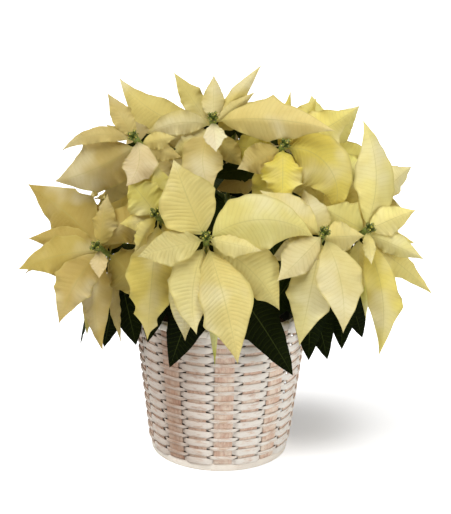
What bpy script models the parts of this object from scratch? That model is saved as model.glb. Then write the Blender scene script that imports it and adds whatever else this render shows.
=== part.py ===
"""Cream poinsettia in a whitewashed woven basket, modelled as separate solids.

Lengths are in millimetres and angles in degrees; MM turns a length into Blender's metres.
+X is right, +Y is away from the front, +Z is up, and the origin is the centre of the underside.
"""

import math
import random
from collections import namedtuple

import bpy
from mathutils import Vector
from mathutils.bvhtree import BVHTree

MM = 0.001
GAP = 0.3  # between pieces that touch

# Basket
BASKET_HEIGHT = 175
BASKET_FOOT_RADIUS = 78
BASKET_TOP_RADIUS = 98.5
WALL_THICKNESS = 3.4
STAKES = 18
FIRST_STAKE = -86.7  # degrees from +X, the stake nearest the front
WEAVER_ROWS = 27
WEAVE_RELIEF = 1.5
HOOP_HEIGHT = 9
HOOP_WIDTH = 5.4
BOARD_THICKNESS = 4
RIM_HEIGHT = 9
RIM_WIDTH = 9
RING_SIDES = 28  # of the hoop, the rim and the base board

# Nursery pot and soil
POT_FOOT_RADIUS = 58
POT_TOP_RADIUS = 79.5
POT_TOP = 160
POT_LIP_HEIGHT = 12
POT_LIP_WIDTH = 3
POT_WALL = 1.8
POT_SIDES = 24
SOIL_TOP = 148
SOIL_DISH = 2  # how far the soil drops at the pot's wall
HOLE_DEPTH = 26
HOLE_SIDES = 10

# Plants
TRUNK_RADIUS = 5
BRANCH_RADIUS = 3.4
STEM_RADIUS = 2.8
STUB_LENGTH = 20
LOWEST_BLOOM = 258
LOWEST_FORK = 8  # above the soil
FORK_SPREAD = 0.24  # of a bloom's height above the lowest one
STEM_SPREAD = 0.75  # how far a branch leans out as it leaves its trunk, 1 being 45 degrees
STEM_PULL = 0.38  # how stiffly a stem keeps its direction at each end, as a share of its length
HUB_LENGTH = 38
HUB_RADIUS = 3.2
HUB_FLARE = 0.8
FIRST_BRACT_DEPTH = 4.5  # below the top of the hub
BRACT_SPACING = 2.2  # between the roots of one bloom's bracts, down its hub
SIDE_BUDS = 3  # round the middle one
BLADE_THICKNESS = 0.8
CLEARANCE = 0.45  # kept on every side of a blade

# Where each plant's trunk stands in the soil
PLANTS = {
    "left": (-20, -10),
    "right": (22, -8),
    "back": (0, 22),
}

# A bloom faces along heading and pitch; its stem comes in along stem_heading and stem_pitch.
# Heading 0 looks to the front, 90 to the right. A clock angle is read on the bloom's face.
Bloom = namedtuple("Bloom", "name plant centre heading pitch stem_heading stem_pitch bracts leaves")
Bract = namedtuple("Bract", "clock length width lift droop swing roll")
Leaf = namedtuple("Leaf", "along clock petiole length width lift droop swing roll")

CENTRE_FRONT = Bloom(
    "centre_front", "left", (-17, -130, 290), 0, 18, 0, 38,
    [
        Bract(98, 60, 24, 14, 18, 6, 20),
        Bract(260, 74, 38, 14, 25, -10, -10),
        Bract(334, 92, 60, 12, 28, 6, -6),
        Bract(47, 124, 62, 16, 34, 80, 10),
        Bract(110, 108, 58, 20, 26, 44, 0),
        Bract(158, 133, 56, 26, 30, 12, 0),
        Bract(206, 98, 50, 18, 22, -42, 10),
        Bract(208, 108, 44, 4, 26, -34, 0),
        Bract(172, 134, 14, -4, 10, 6, 0),
    ],
    [
        Leaf(0.96, 138, 50, 116, 54, 8, 34, 12, 10),
        Leaf(0.90, 195, 34, 94, 54, 6, 22, 4, -8),
    ],
)
RIGHT_FRONT = Bloom(
    "right_front", "right", (106, -105, 290), 0, 18, 10, 40,
    [
        Bract(222, 72, 38, 24, 20, 4, 8),
        Bract(150, 110, 48, 28, 24, 36, 6),
        Bract(192, 119, 50, 20, 26, -2, -8),
        Bract(308, 84, 38, 4, 26, -4, 0),
        Bract(86, 50, 34, -12, 16, 0, 0),
        Bract(250, 62, 26, -8, 16, -10, 0),
        Bract(342, 66, 38, -24, 14, 0, 0),
    ],
    [
        Leaf(0.90, 182, 28, 90, 50, 4, 14, -2, 6),
        Leaf(0.70, 162, 36, 80, 44, -4, 20, 4, 0),
        Leaf(0.84, 216, 26, 80, 44, -2, 16, 0, 0),
    ],
)
RIGHT = Bloom(
    "right", "right", (156, -65, 283), 0, 18, 30, 36,
    [
        Bract(172, 44, 14, 38, 12, 4, 0),
        Bract(297, 55, 40, 26, 24, 0, 0),
        Bract(62, 60, 32, 16, 26, 8, 0),
        Bract(24, 129, 44, 2, 22, -50, -10),
        Bract(108, 73, 26, 12, 28, 8, -12),
        Bract(150, 136, 36, 12, 20, 42, -8),
        Bract(318, 98, 44, -12, 20, 70, 0),
        Bract(122, 110, 24, -4, 24, 10, 6),
        Bract(178, 72, 28, 2, 18, 4, 0),
        Bract(168, 97, 14, -8, 18, 8, 0),
        Bract(88, 72, 26, -14, 16, 12, 0),
        Bract(40, 66, 28, -20, 18, 0, 0),
        Bract(240, 44, 30, 4, 18, 0, 0),
    ],
    [
        Leaf(0.92, 182, 30, 88, 48, 0, 20, -4, 0),
        Leaf(0.80, 160, 40, 76, 40, -10, 30, 0, 0),
    ],
)
LEFT = Bloom(
    "left", "left", (-134, -75, 260), 0, 18, -30, 34,
    [
        Bract(176, 38, 20, 40, 16, 0, 0),
        Bract(4, 60, 30, 14, 20, 6, 25),
        Bract(28, 75, 40, 14, 26, 58, -10),
        Bract(224, 93, 42, 18, 26, -30, 8),
        Bract(198, 113, 34, 18, 24, -37, -12),
        Bract(271, 97, 44, 10, 26, -28, -6),
        Bract(291, 91, 34, -4, 20, -25, 0),
        Bract(317, 128, 54, 2, 26, -16, 8),
        Bract(118, 68, 54, 8, 26, 56, 0),
        Bract(170, 104, 16, 0, 16, 4, 30),
        Bract(338, 76, 26, -10, 16, 0, 0),
        Bract(6, 92, 44, -20, 14, 6, 0),
        Bract(214, 105, 20, -20, 10, -34, 0),
        Bract(86, 62, 36, -4, 16, 10, 0),
    ],
    [
        Leaf(0.95, 162, 24, 74, 46, -10, 20, 0, 0),
        Leaf(0.88, 192, 24, 80, 42, -8, 24, 0, 0),
        Leaf(0.90, 70, 10, 50, 42, -30, 0, 0, 0),
    ],
)
TOP = Bloom(
    "top", "back", (-13, -25, 391), 0, 18, 0, 46,
    [
        Bract(173, 42, 24, 42, 20, 0, 0),
        Bract(82, 136, 44, 24, 26, 24, 0),
        Bract(0, 56, 26, -8, 16, 0, 0),
        Bract(51, 59, 15, 0, 14, 0, 0),
        Bract(37, 89, 18, -8, 10, 0, 0),
        Bract(288, 79, 28, 8, 20, -56, 6),
        Bract(233, 63, 26, 14, 22, 0, 0),
        Bract(214, 83, 46, 18, 30, -70, 0),
        Bract(325, 78, 27, -4, 10, 0, 0),
        Bract(274, 131, 44, -8, 16, 52, -8),
        Bract(54, 76, 22, -20, 10, 0, 0),
        Bract(137, 50, 26, 10, 20, 0, 0),
    ],
    [
        Leaf(0.90, 140, 26, 74, 36, -10, 24, 0, 0),
        Leaf(0.92, 100, 14, 52, 36, -6, 10, 0, 0),
        Leaf(0.66, 182, 34, 92, 46, 46, 30, 0, 0),
    ],
)
TOP_LEFT = Bloom(
    "top_left", "left", (-96, -50, 375), 0, 18, -30, 42,
    [
        Bract(152, 60, 36, 34, 24, 72, 0),
        Bract(327, 61, 24, 2, 16, 0, 0),
        Bract(294, 93, 18, 10, 30, -64, 0),
        Bract(301, 42, 10, 4, 12, -6, 0),
        Bract(233, 107, 58, 0, 22, 27, 6),
        Bract(72, 40, 20, 0, 16, 10, 0),
        Bract(104, 48, 20, 8, 20, 0, 0),
        Bract(150, 72, 36, 4, 24, -10, 0),
        Bract(214, 86, 42, -10, 22, 0, 0),
    ],
    [
        Leaf(0.97, 330, 10, 46, 44, -20, 10, 0, 0),
        Leaf(0.82, 196, 30, 80, 42, -20, 20, 0, 0),
        Leaf(0.64, 138, 30, 84, 42, 36, 24, 0, 0),
    ],
)
UPPER_RIGHT = Bloom(
    "upper_right", "right", (64, -40, 367), 0, 18, 24, 44,
    [
        Bract(180, 64, 44, 30, 26, 0, 0),
        Bract(244, 54, 36, 14, 20, 0, 0),
        Bract(76, 112, 62, 18, 34, 130, 10),
        Bract(66, 100, 44, 6, 24, -14, -10),
        Bract(35, 77, 36, -10, 18, -4, 0),
        Bract(168, 60, 20, 4, 20, 0, 0),
        Bract(10, 76, 14, -14, 10, 0, 0),
        Bract(196, 76, 46, -4, 20, -30, 0),
        Bract(284, 62, 38, -12, 20, 0, 0),
        Bract(120, 84, 40, -10, 22, 30, 0),
    ],
    [
        Leaf(0.92, 250, 16, 50, 36, -14, 10, 0, 0),
        Leaf(0.82, 214, 26, 74, 38, -16, 20, 0, 0),
        Leaf(0.62, 170, 30, 84, 44, 40, 24, 0, 0),
    ],
)
MIDDLE_LEFT = Bloom(
    "middle_left", "left", (-70, -95, 304), 0, 18, -16, 38,
    [
        Bract(210, 48, 22, 22, 16, 0, 40),
        Bract(322, 51, 44, 6, 24, -4, 0),
        Bract(352, 64, 44, -6, 22, 0, 0),
        Bract(186, 131, 50, 14, 24, -3, 8),
        Bract(262, 44, 24, -2, 18, 0, 0),
        Bract(40, 56, 28, -16, 20, 10, 0),
        Bract(150, 76, 30, -6, 18, 0, 0),
    ],
    [
        Leaf(0.88, 190, 34, 86, 46, -6, 20, 0, 0),
        Leaf(0.74, 160, 34, 80, 44, -10, 14, 0, 0),
        Leaf(0.94, 74, 24, 66, 38, -12, 14, 0, 0),
    ],
)
BACK_RIGHT = Bloom(
    "back_right", "back", (108, 48, 350), 0, 18, 60, 46,
    [
        Bract(352, 58, 34, 0, 22, 0, 0),
        Bract(46, 72, 36, 0, 24, 0, 0),
        Bract(118, 122, 26, -8, 22, 8, 0),
        Bract(126, 122, 20, -18, 16, 8, 0),
        Bract(92, 96, 34, -6, 30, 14, 0),
        Bract(140, 84, 38, -30, 16, 0, 0),
        Bract(226, 66, 34, -30, 10, 0, 0),
    ],
    [
        Leaf(0.80, 160, 26, 84, 40, -40, 10, 0, 0),
        Leaf(0.60, 230, 26, 84, 40, -50, 10, 0, 0),
    ],
)
FAR_RIGHT = Bloom(
    "far_right", "right", (176, 40, 294), 82, 28, 84, 40,
    [
        Bract(268, 74, 34, 34, 30, -20, 0),
        Bract(320, 72, 36, 28, 26, 0, 0),
        Bract(20, 66, 34, 24, 24, 0, 0),
        Bract(84, 80, 36, 18, 30, 10, 0),
        Bract(140, 94, 40, 16, 30, 0, 0),
        Bract(196, 98, 42, 14, 30, 0, 0),
        Bract(238, 90, 40, 10, 26, 0, 0),
    ],
    [
        Leaf(0.90, 160, 32, 92, 44, -10, 20, 0, 0),
        Leaf(0.80, 215, 32, 84, 44, -16, 20, 0, 0),
    ],
)

# Blooms that the front hides: their bracts and leaves follow the plant's own spiral
SPIRAL_STEP = 137.5
HIDDEN_BLOOMS = [
    ("left_side", "left", (-160, 28, 272), -104, 30, 7),
    ("back_left", "back", (-102, 112, 276), -146, 30, 6),
    ("back_centre", "back", (6, 152, 284), 176, 30, 6),
    ("back_far_right", "right", (112, 120, 278), 138, 30, 6),
    ("top_back_left", "left", (-78, 52, 362), -132, 52, 6),
    ("top_back", "back", (12, 58, 374), 160, 62, 6),
]


def polar(heading, pitch):
    """Unit vector that looks along a heading and a pitch."""
    turn, rise = math.radians(heading), math.radians(pitch)
    return Vector((math.sin(turn) * math.cos(rise), -math.cos(turn) * math.cos(rise), math.sin(rise)))


def face_axes(heading, pitch):
    """Right, up and facing directions of a bloom."""
    turn = math.radians(heading)
    right = Vector((math.cos(turn), math.sin(turn), 0))
    facing = polar(heading, pitch)
    return right, facing.cross(right), facing


def spiral_bloom(name, plant, centre, heading, pitch, count):
    """A bloom whose bracts grow along a spiral, small and lifted first, long and drooping last."""
    draw = random.Random(name)
    start = draw.uniform(0, 360)
    bracts = []
    for i in range(count):
        age = i / (count - 1)
        length = 58 + 56 * age + draw.uniform(-6, 6)
        bracts.append(
            Bract(
                clock=(start + i * SPIRAL_STEP) % 360,
                length=length,
                width=length * draw.uniform(0.40, 0.48),
                lift=26 - 34 * age,
                droop=draw.uniform(18, 36),
                swing=draw.uniform(-14, 14),
                roll=draw.uniform(-12, 12),
            )
        )
    leaves = []
    for i, side in enumerate((-34, 36)):
        clock, length = 180 + side + draw.uniform(-8, 8), draw.uniform(88, 106)
        leaves.append(Leaf(0.9 - 0.1 * i, clock, 34, length, 44, -4 - 6 * i, 24, 0, 0))
    return Bloom(name, plant, centre, heading, pitch, heading, pitch + 8, bracts, leaves)


def all_blooms():
    shown = [
        CENTRE_FRONT, RIGHT_FRONT, RIGHT, LEFT, TOP,
        TOP_LEFT, UPPER_RIGHT, MIDDLE_LEFT, BACK_RIGHT, FAR_RIGHT,
    ]
    return shown + [spiral_bloom(*row) for row in HIDDEN_BLOOMS]


# Blades: one closed strip of triangles for a bract or a leaf

BRACT_STATIONS = (0, 0.10, 0.37, 0.71, 1)
BRACT_STALK = 0.05  # of its length
LEAF_OUTLINE = ((0.02, 0.12), (0.18, 0.66), (0.40, 1.0), (0.50, 0.74), (0.76, 0.42), (1, 0))
STALK_HALF_WIDTH = 1.6
STALK_THICKNESS = 2.0
FOLD = -14  # of each half at its midrib: the halves fall away from the viewer
MIDRIB_STEPS = 5  # between two stations


def bract_half_width(blade, along):
    along = max(0, (along - BRACT_STALK) / (1 - BRACT_STALK))
    share = math.sin(math.pi * along ** 0.88) * (1 - 0.5 * along ** 6)
    return max(STALK_HALF_WIDTH, blade.width / 2 * share)


def blade_sections(blade):
    """Stations along the blade: how far along it, its half width and its thickness there."""
    if isinstance(blade, Bract):
        return [(at, bract_half_width(blade, at), BLADE_THICKNESS) for at in BRACT_STATIONS]
    stalk = blade.petiole / (blade.petiole + blade.length)
    sections = [(0, STALK_HALF_WIDTH, STALK_THICKNESS)]
    for at, share in LEAF_OUTLINE:
        half = max(STALK_HALF_WIDTH, blade.width / 2 * share)
        sections.append((stalk + at * (1 - stalk), half, BLADE_THICKNESS))
    return sections


def whole_length(blade):
    return blade.length + getattr(blade, "petiole", 0)


def midrib_frames(blade, root, axes, stations):
    """Point, side and normal of the midrib at each station. It bends evenly from root to tip."""
    right, up, facing = axes
    frames = []
    point, at = root.copy(), 0.0
    roll = math.radians(blade.roll)

    def directions(along):
        clock = math.radians(blade.clock + blade.swing * along)
        lift = math.radians(blade.lift - blade.droop * along)
        outward = math.sin(clock) * right + math.cos(clock) * up
        forward = math.cos(lift) * outward + math.sin(lift) * facing
        side = math.cos(clock) * right - math.sin(clock) * up
        normal = side.cross(forward)
        rolled = math.cos(roll) * side + math.sin(roll) * normal
        return forward, rolled, rolled.cross(forward)

    for station in stations:
        step = (station - at) / MIDRIB_STEPS
        for i in range(MIDRIB_STEPS):
            point = point + directions(at + (i + 0.5) * step)[0] * step * whole_length(blade)
        at = station
        frames.append((point, *directions(at)[1:]))
    return frames


def blade_shape(blade, root, axes, grow=0.0, first=0):
    """Vertices and triangles of a closed blade, folded at its midrib and split alike on both faces."""
    sections = blade_sections(blade)
    frames = midrib_frames(blade, root, axes, [section[0] for section in sections])
    fold = math.radians(FOLD)
    points = []
    for (_, half, thickness), (mid, side, normal) in list(zip(sections, frames))[first:-1]:
        half, thickness = half + grow, thickness / 2 + grow
        for face in (1, -1):
            for column in (-1, 0, 1):
                rise = abs(column) * half * math.sin(fold) + face * thickness
                points.append(mid + side * column * half * math.cos(fold) + normal * rise)
    tip, _, normal = frames[-1]
    tip = tip + (tip - frames[-2][0]).normalized() * grow
    points += [tip + normal * (BLADE_THICKNESS / 2 + grow), tip - normal * (BLADE_THICKNESS / 2 + grow)]
    rings = (len(points) - 2) // 6
    faces = [(0, 3, 4), (0, 4, 1), (1, 4, 5), (1, 5, 2)]
    for ring in range(rings - 1):
        low, high = 6 * ring, 6 * ring + 6
        for column in (0, 1):
            a, b, c, d = low + column, low + column + 1, high + column + 1, high + column
            faces += [(a, b, c), (a, c, d), (a + 3, c + 3, b + 3), (a + 3, d + 3, c + 3)]
        faces += [(low + 2, low + 5, high + 5), (low + 2, high + 5, high + 2)]
        faces += [(low, high, high + 3), (low, high + 3, low + 3)]
    low, top, under = 6 * (rings - 1), len(points) - 2, len(points) - 1
    faces += [(low, low + 1, top), (low + 1, low + 2, top)]
    faces += [(low + 3, under, low + 4), (low + 4, under, low + 5)]
    faces += [(low + 2, low + 5, under), (low + 2, under, top), (low, top, under), (low, under, low + 3)]
    return points, faces


# Other closed shapes


def tube_shape(path, radii, sides, ways=(None, None)):
    """A round tube through the path's points. Its flat ends lie across the ways, where given."""
    points, faces = [], []
    across = None
    for i, centre in enumerate(path):
        ahead = (path[min(i + 1, len(path) - 1)] - path[max(i - 1, 0)]).normalized()
        if i in (0, len(path) - 1):
            ahead = ways[min(i, 1)] or ahead
        across = (across or ahead.orthogonal()).normalized()
        across = (across - ahead * across.dot(ahead)).normalized()
        other = ahead.cross(across)
        for k in range(sides):
            turn = 2 * math.pi * k / sides
            points.append(centre + radii[i] * (math.cos(turn) * across + math.sin(turn) * other))
    for ring in range(len(path) - 1):
        for k in range(sides):
            a, b = ring * sides + k, ring * sides + (k + 1) % sides
            faces.append((a, b, b + sides, a + sides))
    faces.append(tuple(reversed(range(sides))))
    faces.append(tuple(range((len(path) - 1) * sides, len(path) * sides)))
    return points, faces


def turned_shape(profile, sides, radius_at=None, first=0):
    """A closed profile of (radius, height) turned round the upright axis from the first angle."""
    points, faces, rings = [], [], []
    for index, (radius, height) in enumerate(profile):
        if radius == 0:
            rings.append([len(points)] * sides)
            points.append(Vector((0, 0, height)))
            continue
        rings.append(list(range(len(points), len(points) + sides)))
        for k in range(sides):
            turn = math.radians(first) + 2 * math.pi * k / sides
            reach = radius + (radius_at(index, k) if radius_at else 0)
            points.append(Vector((reach * math.cos(turn), reach * math.sin(turn), height)))
    for i, ring in enumerate(rings):
        after = rings[(i + 1) % len(rings)]
        if ring[0] == ring[1] and after[0] == after[1]:
            continue
        for k in range(sides):
            corners = [ring[k], ring[(k + 1) % sides], after[(k + 1) % sides], after[k]]
            faces.append(tuple(dict.fromkeys(corners)))
    return points, faces


def bud_shape(base, axis, length, radius):
    """A small closed bud with four flat sides, widest past its middle."""
    axis = axis.normalized()
    across = axis.orthogonal().normalized()
    other = axis.cross(across)
    middle = base + axis * 0.6 * length
    ring = [middle + radius * way for way in (across, other, -across, -other)]
    points = [base.copy(), *ring, base + axis * length]
    faces = []
    for k in range(4):
        here, after = 1 + k, 1 + (k + 1) % 4
        faces += [(0, after, here), (here, after, 5)]
    return points, faces


# Objects and materials


def clear_scene():
    for old in list(bpy.data.objects):
        bpy.data.objects.remove(old, do_unlink=True)


def plain_material(name, colour, roughness):
    material = bpy.data.materials.new(name)
    material.use_nodes = True
    shader = material.node_tree.nodes["Principled BSDF"]
    shader.inputs["Base Color"].default_value = (*colour, 1)
    shader.inputs["Roughness"].default_value = roughness
    shader.inputs["Metallic"].default_value = 0
    return material


def make_materials():
    return {
        "bract": plain_material("cream_bract", (0.80, 0.70, 0.36), 0.55),
        "leaf": plain_material("dark_leaf", (0.03, 0.07, 0.015), 0.5),
        "cyathia": plain_material("green_bud", (0.30, 0.36, 0.06), 0.45),
        "trunk": plain_material("woody_stem", (0.16, 0.15, 0.07), 0.7),
        "wood": plain_material("whitewashed_wood", (0.74, 0.66, 0.57), 0.75),
        "hoop": plain_material("peeled_hoop", (0.74, 0.58, 0.44), 0.6),
        "pot": plain_material("pot_plastic", (0.05, 0.08, 0.05), 0.5),
        "soil": plain_material("potting_soil", (0.035, 0.022, 0.014), 0.95),
    }


def add_object(name, shape, material):
    points, faces = shape
    mesh = bpy.data.meshes.new(name)
    mesh.from_pydata([point * MM for point in points], [], faces)
    mesh.update()
    mesh.materials.append(material)
    made = bpy.data.objects.new(name, mesh)
    bpy.context.scene.collection.objects.link(made)
    return made


def apply_modifiers(made):
    bpy.context.view_layer.update()
    depsgraph = bpy.context.evaluated_depsgraph_get()
    mesh = bpy.data.meshes.new_from_object(made.evaluated_get(depsgraph))
    made.modifiers.clear()
    made.data = mesh


def fuse(name, shapes, material):
    """One object from closed shapes that run into each other, by one union on a collection."""
    base = add_object(name, shapes[0], material)
    group = bpy.data.collections.new(name + "_repeats")
    bpy.context.scene.collection.children.link(group)
    for shape in shapes[1:]:
        repeat = add_object(name + "_repeat", shape, material)
        bpy.context.scene.collection.objects.unlink(repeat)
        group.objects.link(repeat)
    union = base.modifiers.new("union", "BOOLEAN")
    union.operation = "UNION"
    union.operand_type = "COLLECTION"
    union.collection = group
    union.solver = "MANIFOLD"
    apply_modifiers(base)
    for repeat in list(group.objects):
        bpy.data.objects.remove(repeat, do_unlink=True)
    bpy.data.collections.remove(group)
    return base


def tree_of(shape):
    return BVHTree.FromPolygons(*shape)


# Layout: where every stem, bract and leaf goes

LIFT_CHANGES = (0, -5, 5, -10, 10, -16, 16, -24, 24, -34, 34)
CLOCK_CHANGES = (0, 5, -5, 11, -11)
SIZE_CHANGES = (1, 0.88, 0.74)


def fork_point(bloom):
    """Where the bloom's branch leaves its trunk: higher blooms leave it higher up."""
    height = SOIL_TOP + LOWEST_FORK + FORK_SPREAD * (bloom.centre[2] - LOWEST_BLOOM)
    return Vector((*PLANTS[bloom.plant], height))


def stem_ends(bloom):
    """The stub's end, the way it points, the hub's foot and the hub's axis."""
    axis = polar(bloom.stem_heading, bloom.stem_pitch)
    foot = Vector(bloom.centre) - axis * HUB_LENGTH
    top = fork_point(bloom)
    leaving = Vector((foot.x - top.x, foot.y - top.y, 0)).normalized() * STEM_SPREAD + Vector((0, 0, 1))
    way = (leaving.normalized() + (foot - top).normalized() / 2).normalized()
    return top + way * STUB_LENGTH, way, foot, axis


def stem_path(bloom, count=6):
    """A smooth path from the stub's end to the foot of the hub."""
    start, way, foot, axis = stem_ends(bloom)
    start, foot = start + way * GAP, foot - axis * GAP
    pull = STEM_PULL * (foot - start).length
    first, second = start + way * pull, foot - axis * pull
    path = []
    for i in range(count):
        t = i / (count - 1)
        s = 1 - t
        path.append(s ** 3 * start + 3 * s * s * t * first + 3 * s * t * t * second + t ** 3 * foot)
    return path


def path_point(path, along):
    place = along * (len(path) - 1)
    i = min(int(place), len(path) - 2)
    return path[i].lerp(path[i + 1], place - i)


def hub_shape(bloom):
    _, _, foot, axis = stem_ends(bloom)
    path = [foot, foot + axis * HUB_LENGTH * 0.6, Vector(bloom.centre)]
    return tube_shape(path, (STEM_RADIUS, HUB_RADIUS, HUB_RADIUS + HUB_FLARE), 5)


def stem_shape(bloom):
    _, way, _, axis = stem_ends(bloom)
    path = stem_path(bloom)
    return tube_shape(path, [STEM_RADIUS] * len(path), 5, (way, axis))


def cyathia_shapes(bloom):
    """A small green cushion with a ring of buds round one at the middle."""
    _, _, _, axis = stem_ends(bloom)
    base = Vector(bloom.centre) + axis * GAP
    cushion = tube_shape([base, base + axis * 2.4], (3.2, 3.6), 6)
    across = axis.orthogonal().normalized()
    other = axis.cross(across)
    shapes = [cushion, bud_shape(base + axis * 1.4, axis, 8, 2.6)]
    for k in range(SIDE_BUDS):
        turn = 2 * math.pi * k / SIDE_BUDS
        lean = math.cos(turn) * across + math.sin(turn) * other
        shapes.append(bud_shape(base + axis * 1.0 + lean * 1.4, axis + lean * 0.95, 7.5, 2.2))
    return shapes


def bract_root(bloom, index):
    _, _, _, axis = stem_ends(bloom)
    return Vector(bloom.centre) - axis * (FIRST_BRACT_DEPTH + BRACT_SPACING * index)


def bent_clear(blade, root, axes, others, own):
    """The blade, bent, turned or shortened no more than it takes to miss the others, or None."""
    for near in (own, []):
        for size in SIZE_CHANGES:
            for turn in CLOCK_CHANGES:
                for rise in LIFT_CHANGES:
                    trial = blade._replace(
                        length=blade.length * size,
                        width=blade.width * size,
                        clock=blade.clock + turn,
                        lift=blade.lift + rise,
                    )
                    tree = tree_of(blade_shape(trial, root, axes, CLEARANCE))
                    if any(tree.overlap(other) for other in others):
                        continue
                    outer = tree_of(blade_shape(trial, root, axes, CLEARANCE, first=1))
                    if any(outer.overlap(other) for other in near):
                        continue
                    return trial
    return None


def lay_out(blooms, fixed):
    """The bracts and leaves of every bloom, each bent clear of what was placed before it."""
    stems = {bloom.name: tree_of(stem_shape(bloom)) for bloom in blooms}
    hubs = {bloom.name: tree_of(hub_shape(bloom)) for bloom in blooms}
    buds = [tree_of(shape) for bloom in blooms for shape in cyathia_shapes(bloom)]
    placed = []
    bracts = {bloom.name: [] for bloom in blooms}
    leaves = {bloom.name: [] for bloom in blooms}
    for bloom in blooms:
        axes = face_axes(bloom.heading, bloom.pitch)
        still = fixed + buds + list(stems.values()) + [hubs[name] for name in hubs if name != bloom.name]
        own, made = [], []
        for index, bract in enumerate(bloom.bracts):
            root = bract_root(bloom, index)
            clear = bent_clear(bract, root, axes, still + placed, own)
            if clear is None:
                print("left out: bract", index, "of", bloom.name)
                continue
            shape = blade_shape(clear, root, axes)
            bracts[bloom.name].append((clear, root, index))
            made.append(tree_of(shape))
            own.append(tree_of(blade_shape(clear, root, axes, first=1)))
        placed += made
    for bloom in blooms:
        axes = face_axes(bloom.heading, bloom.pitch)
        path = stem_path(bloom)
        still = fixed + buds + list(hubs.values()) + [stems[name] for name in stems if name != bloom.name]
        own, made = [], []
        for index, leaf in enumerate(bloom.leaves):
            root = path_point(path, leaf.along)
            clear = bent_clear(leaf, root, axes, still + placed, own)
            if clear is None:
                print("left out: leaf", index, "of", bloom.name)
                continue
            leaves[bloom.name].append((clear, root, index))
            made.append(tree_of(blade_shape(clear, root, axes)))
            own.append(tree_of(blade_shape(clear, root, axes, first=2)))
        placed += made
    return bracts, leaves


# Basket, pot and soil


def wall_radius(height):
    return BASKET_FOOT_RADIUS + (BASKET_TOP_RADIUS - BASKET_FOOT_RADIUS) * height / BASKET_HEIGHT


def basket_wall_shape():
    """Plain weave as relief: at each stake a row lies out or in, and its neighbour rows the other way."""
    low, high = HOOP_HEIGHT + GAP, BASKET_HEIGHT - RIM_HEIGHT - GAP
    pitch = (high - low) / WEAVER_ROWS
    heights = [low] + [low + (row + 0.5) * pitch for row in range(WEAVER_ROWS)] + [high]
    profile = [(wall_radius(height), height) for height in heights]
    inner = [(wall_radius(high) - WALL_THICKNESS, high), (wall_radius(low) - WALL_THICKNESS, low)]

    def relief(ring, column):
        if not 1 <= ring <= WEAVER_ROWS or column % 2:
            return 0
        return WEAVE_RELIEF * (-1 if (ring + column // 2) % 2 else 1)

    return turned_shape(profile + inner, 2 * STAKES, relief, FIRST_STAKE)


def ring_shape(outer, width, low, high, bevel, sides):
    inner = outer - width
    profile = [
        (outer - bevel, low), (outer, low + bevel), (outer, high - bevel), (outer - bevel, high),
        (inner, high), (inner, low),
    ]
    return turned_shape(profile, sides)


def pot_shape():
    low = BOARD_THICKNESS + GAP
    lip = POT_TOP - POT_LIP_HEIGHT
    profile = [
        (0, low), (POT_FOOT_RADIUS, low), (POT_TOP_RADIUS, lip), (POT_TOP_RADIUS + POT_LIP_WIDTH, lip),
        (POT_TOP_RADIUS + POT_LIP_WIDTH, POT_TOP), (POT_TOP_RADIUS - POT_WALL, POT_TOP),
        (POT_FOOT_RADIUS - POT_WALL, low + POT_WALL), (0, low + POT_WALL),
    ]
    return turned_shape(profile, POT_SIDES)


def soil_shape():
    low = BOARD_THICKNESS + GAP + POT_WALL
    foot, mouth = POT_FOOT_RADIUS - POT_WALL, POT_TOP_RADIUS - POT_WALL
    top = foot + (mouth - foot) * (SOIL_TOP - low) / (POT_TOP - low)
    profile = [
        (0, low + GAP), (foot - 2 * GAP, low + GAP), (top - 2 * GAP, SOIL_TOP - SOIL_DISH),
        (top - 4 * SOIL_DISH, SOIL_TOP), (0, SOIL_TOP),
    ]
    return turned_shape(profile, POT_SIDES)


def dig_holes(soil):
    """A plain hole in the soil for each trunk."""
    holes = bpy.data.collections.new("soil_holes")
    bpy.context.scene.collection.children.link(holes)
    for x, y in PLANTS.values():
        bottom = Vector((x, y, SOIL_TOP - HOLE_DEPTH))
        above = Vector((x, y, SOIL_TOP + HOLE_DEPTH))
        radius = TRUNK_RADIUS + 2 * GAP
        bore = tube_shape([bottom, above], (radius, radius), HOLE_SIDES)
        cutter = add_object("soil_hole", bore, soil.active_material)
        cutter.hide_render = True
        cutter.display_type = "WIRE"
        bpy.context.scene.collection.objects.unlink(cutter)
        holes.objects.link(cutter)
    cut = soil.modifiers.new("holes", "BOOLEAN")
    cut.operation = "DIFFERENCE"
    cut.operand_type = "COLLECTION"
    cut.collection = holes
    apply_modifiers(soil)
    for cutter in list(holes.objects):
        bpy.data.objects.remove(cutter, do_unlink=True)
    bpy.data.collections.remove(holes)


def trunk_shapes(plant, blooms):
    """A trunk that stands in the soil and tapers past its last fork, with a stub for each branch."""
    branches = [bloom for bloom in blooms if bloom.plant == plant]
    foot = Vector((*PLANTS[plant], SOIL_TOP - HOLE_DEPTH + GAP))
    last = max((fork_point(bloom) for bloom in branches), key=lambda point: point.z)
    middle = foot.lerp(last, 0.6)
    shapes = [tube_shape([foot, middle, last + Vector((0, 0, 4))], (TRUNK_RADIUS, TRUNK_RADIUS, 3.6), 8)]
    for bloom in branches:
        end, way, _, _ = stem_ends(bloom)
        fork = fork_point(bloom) - way * 2
        shapes.append(tube_shape([fork, end], (BRANCH_RADIUS, STEM_RADIUS), 6, (way, way)))
    return shapes


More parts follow.
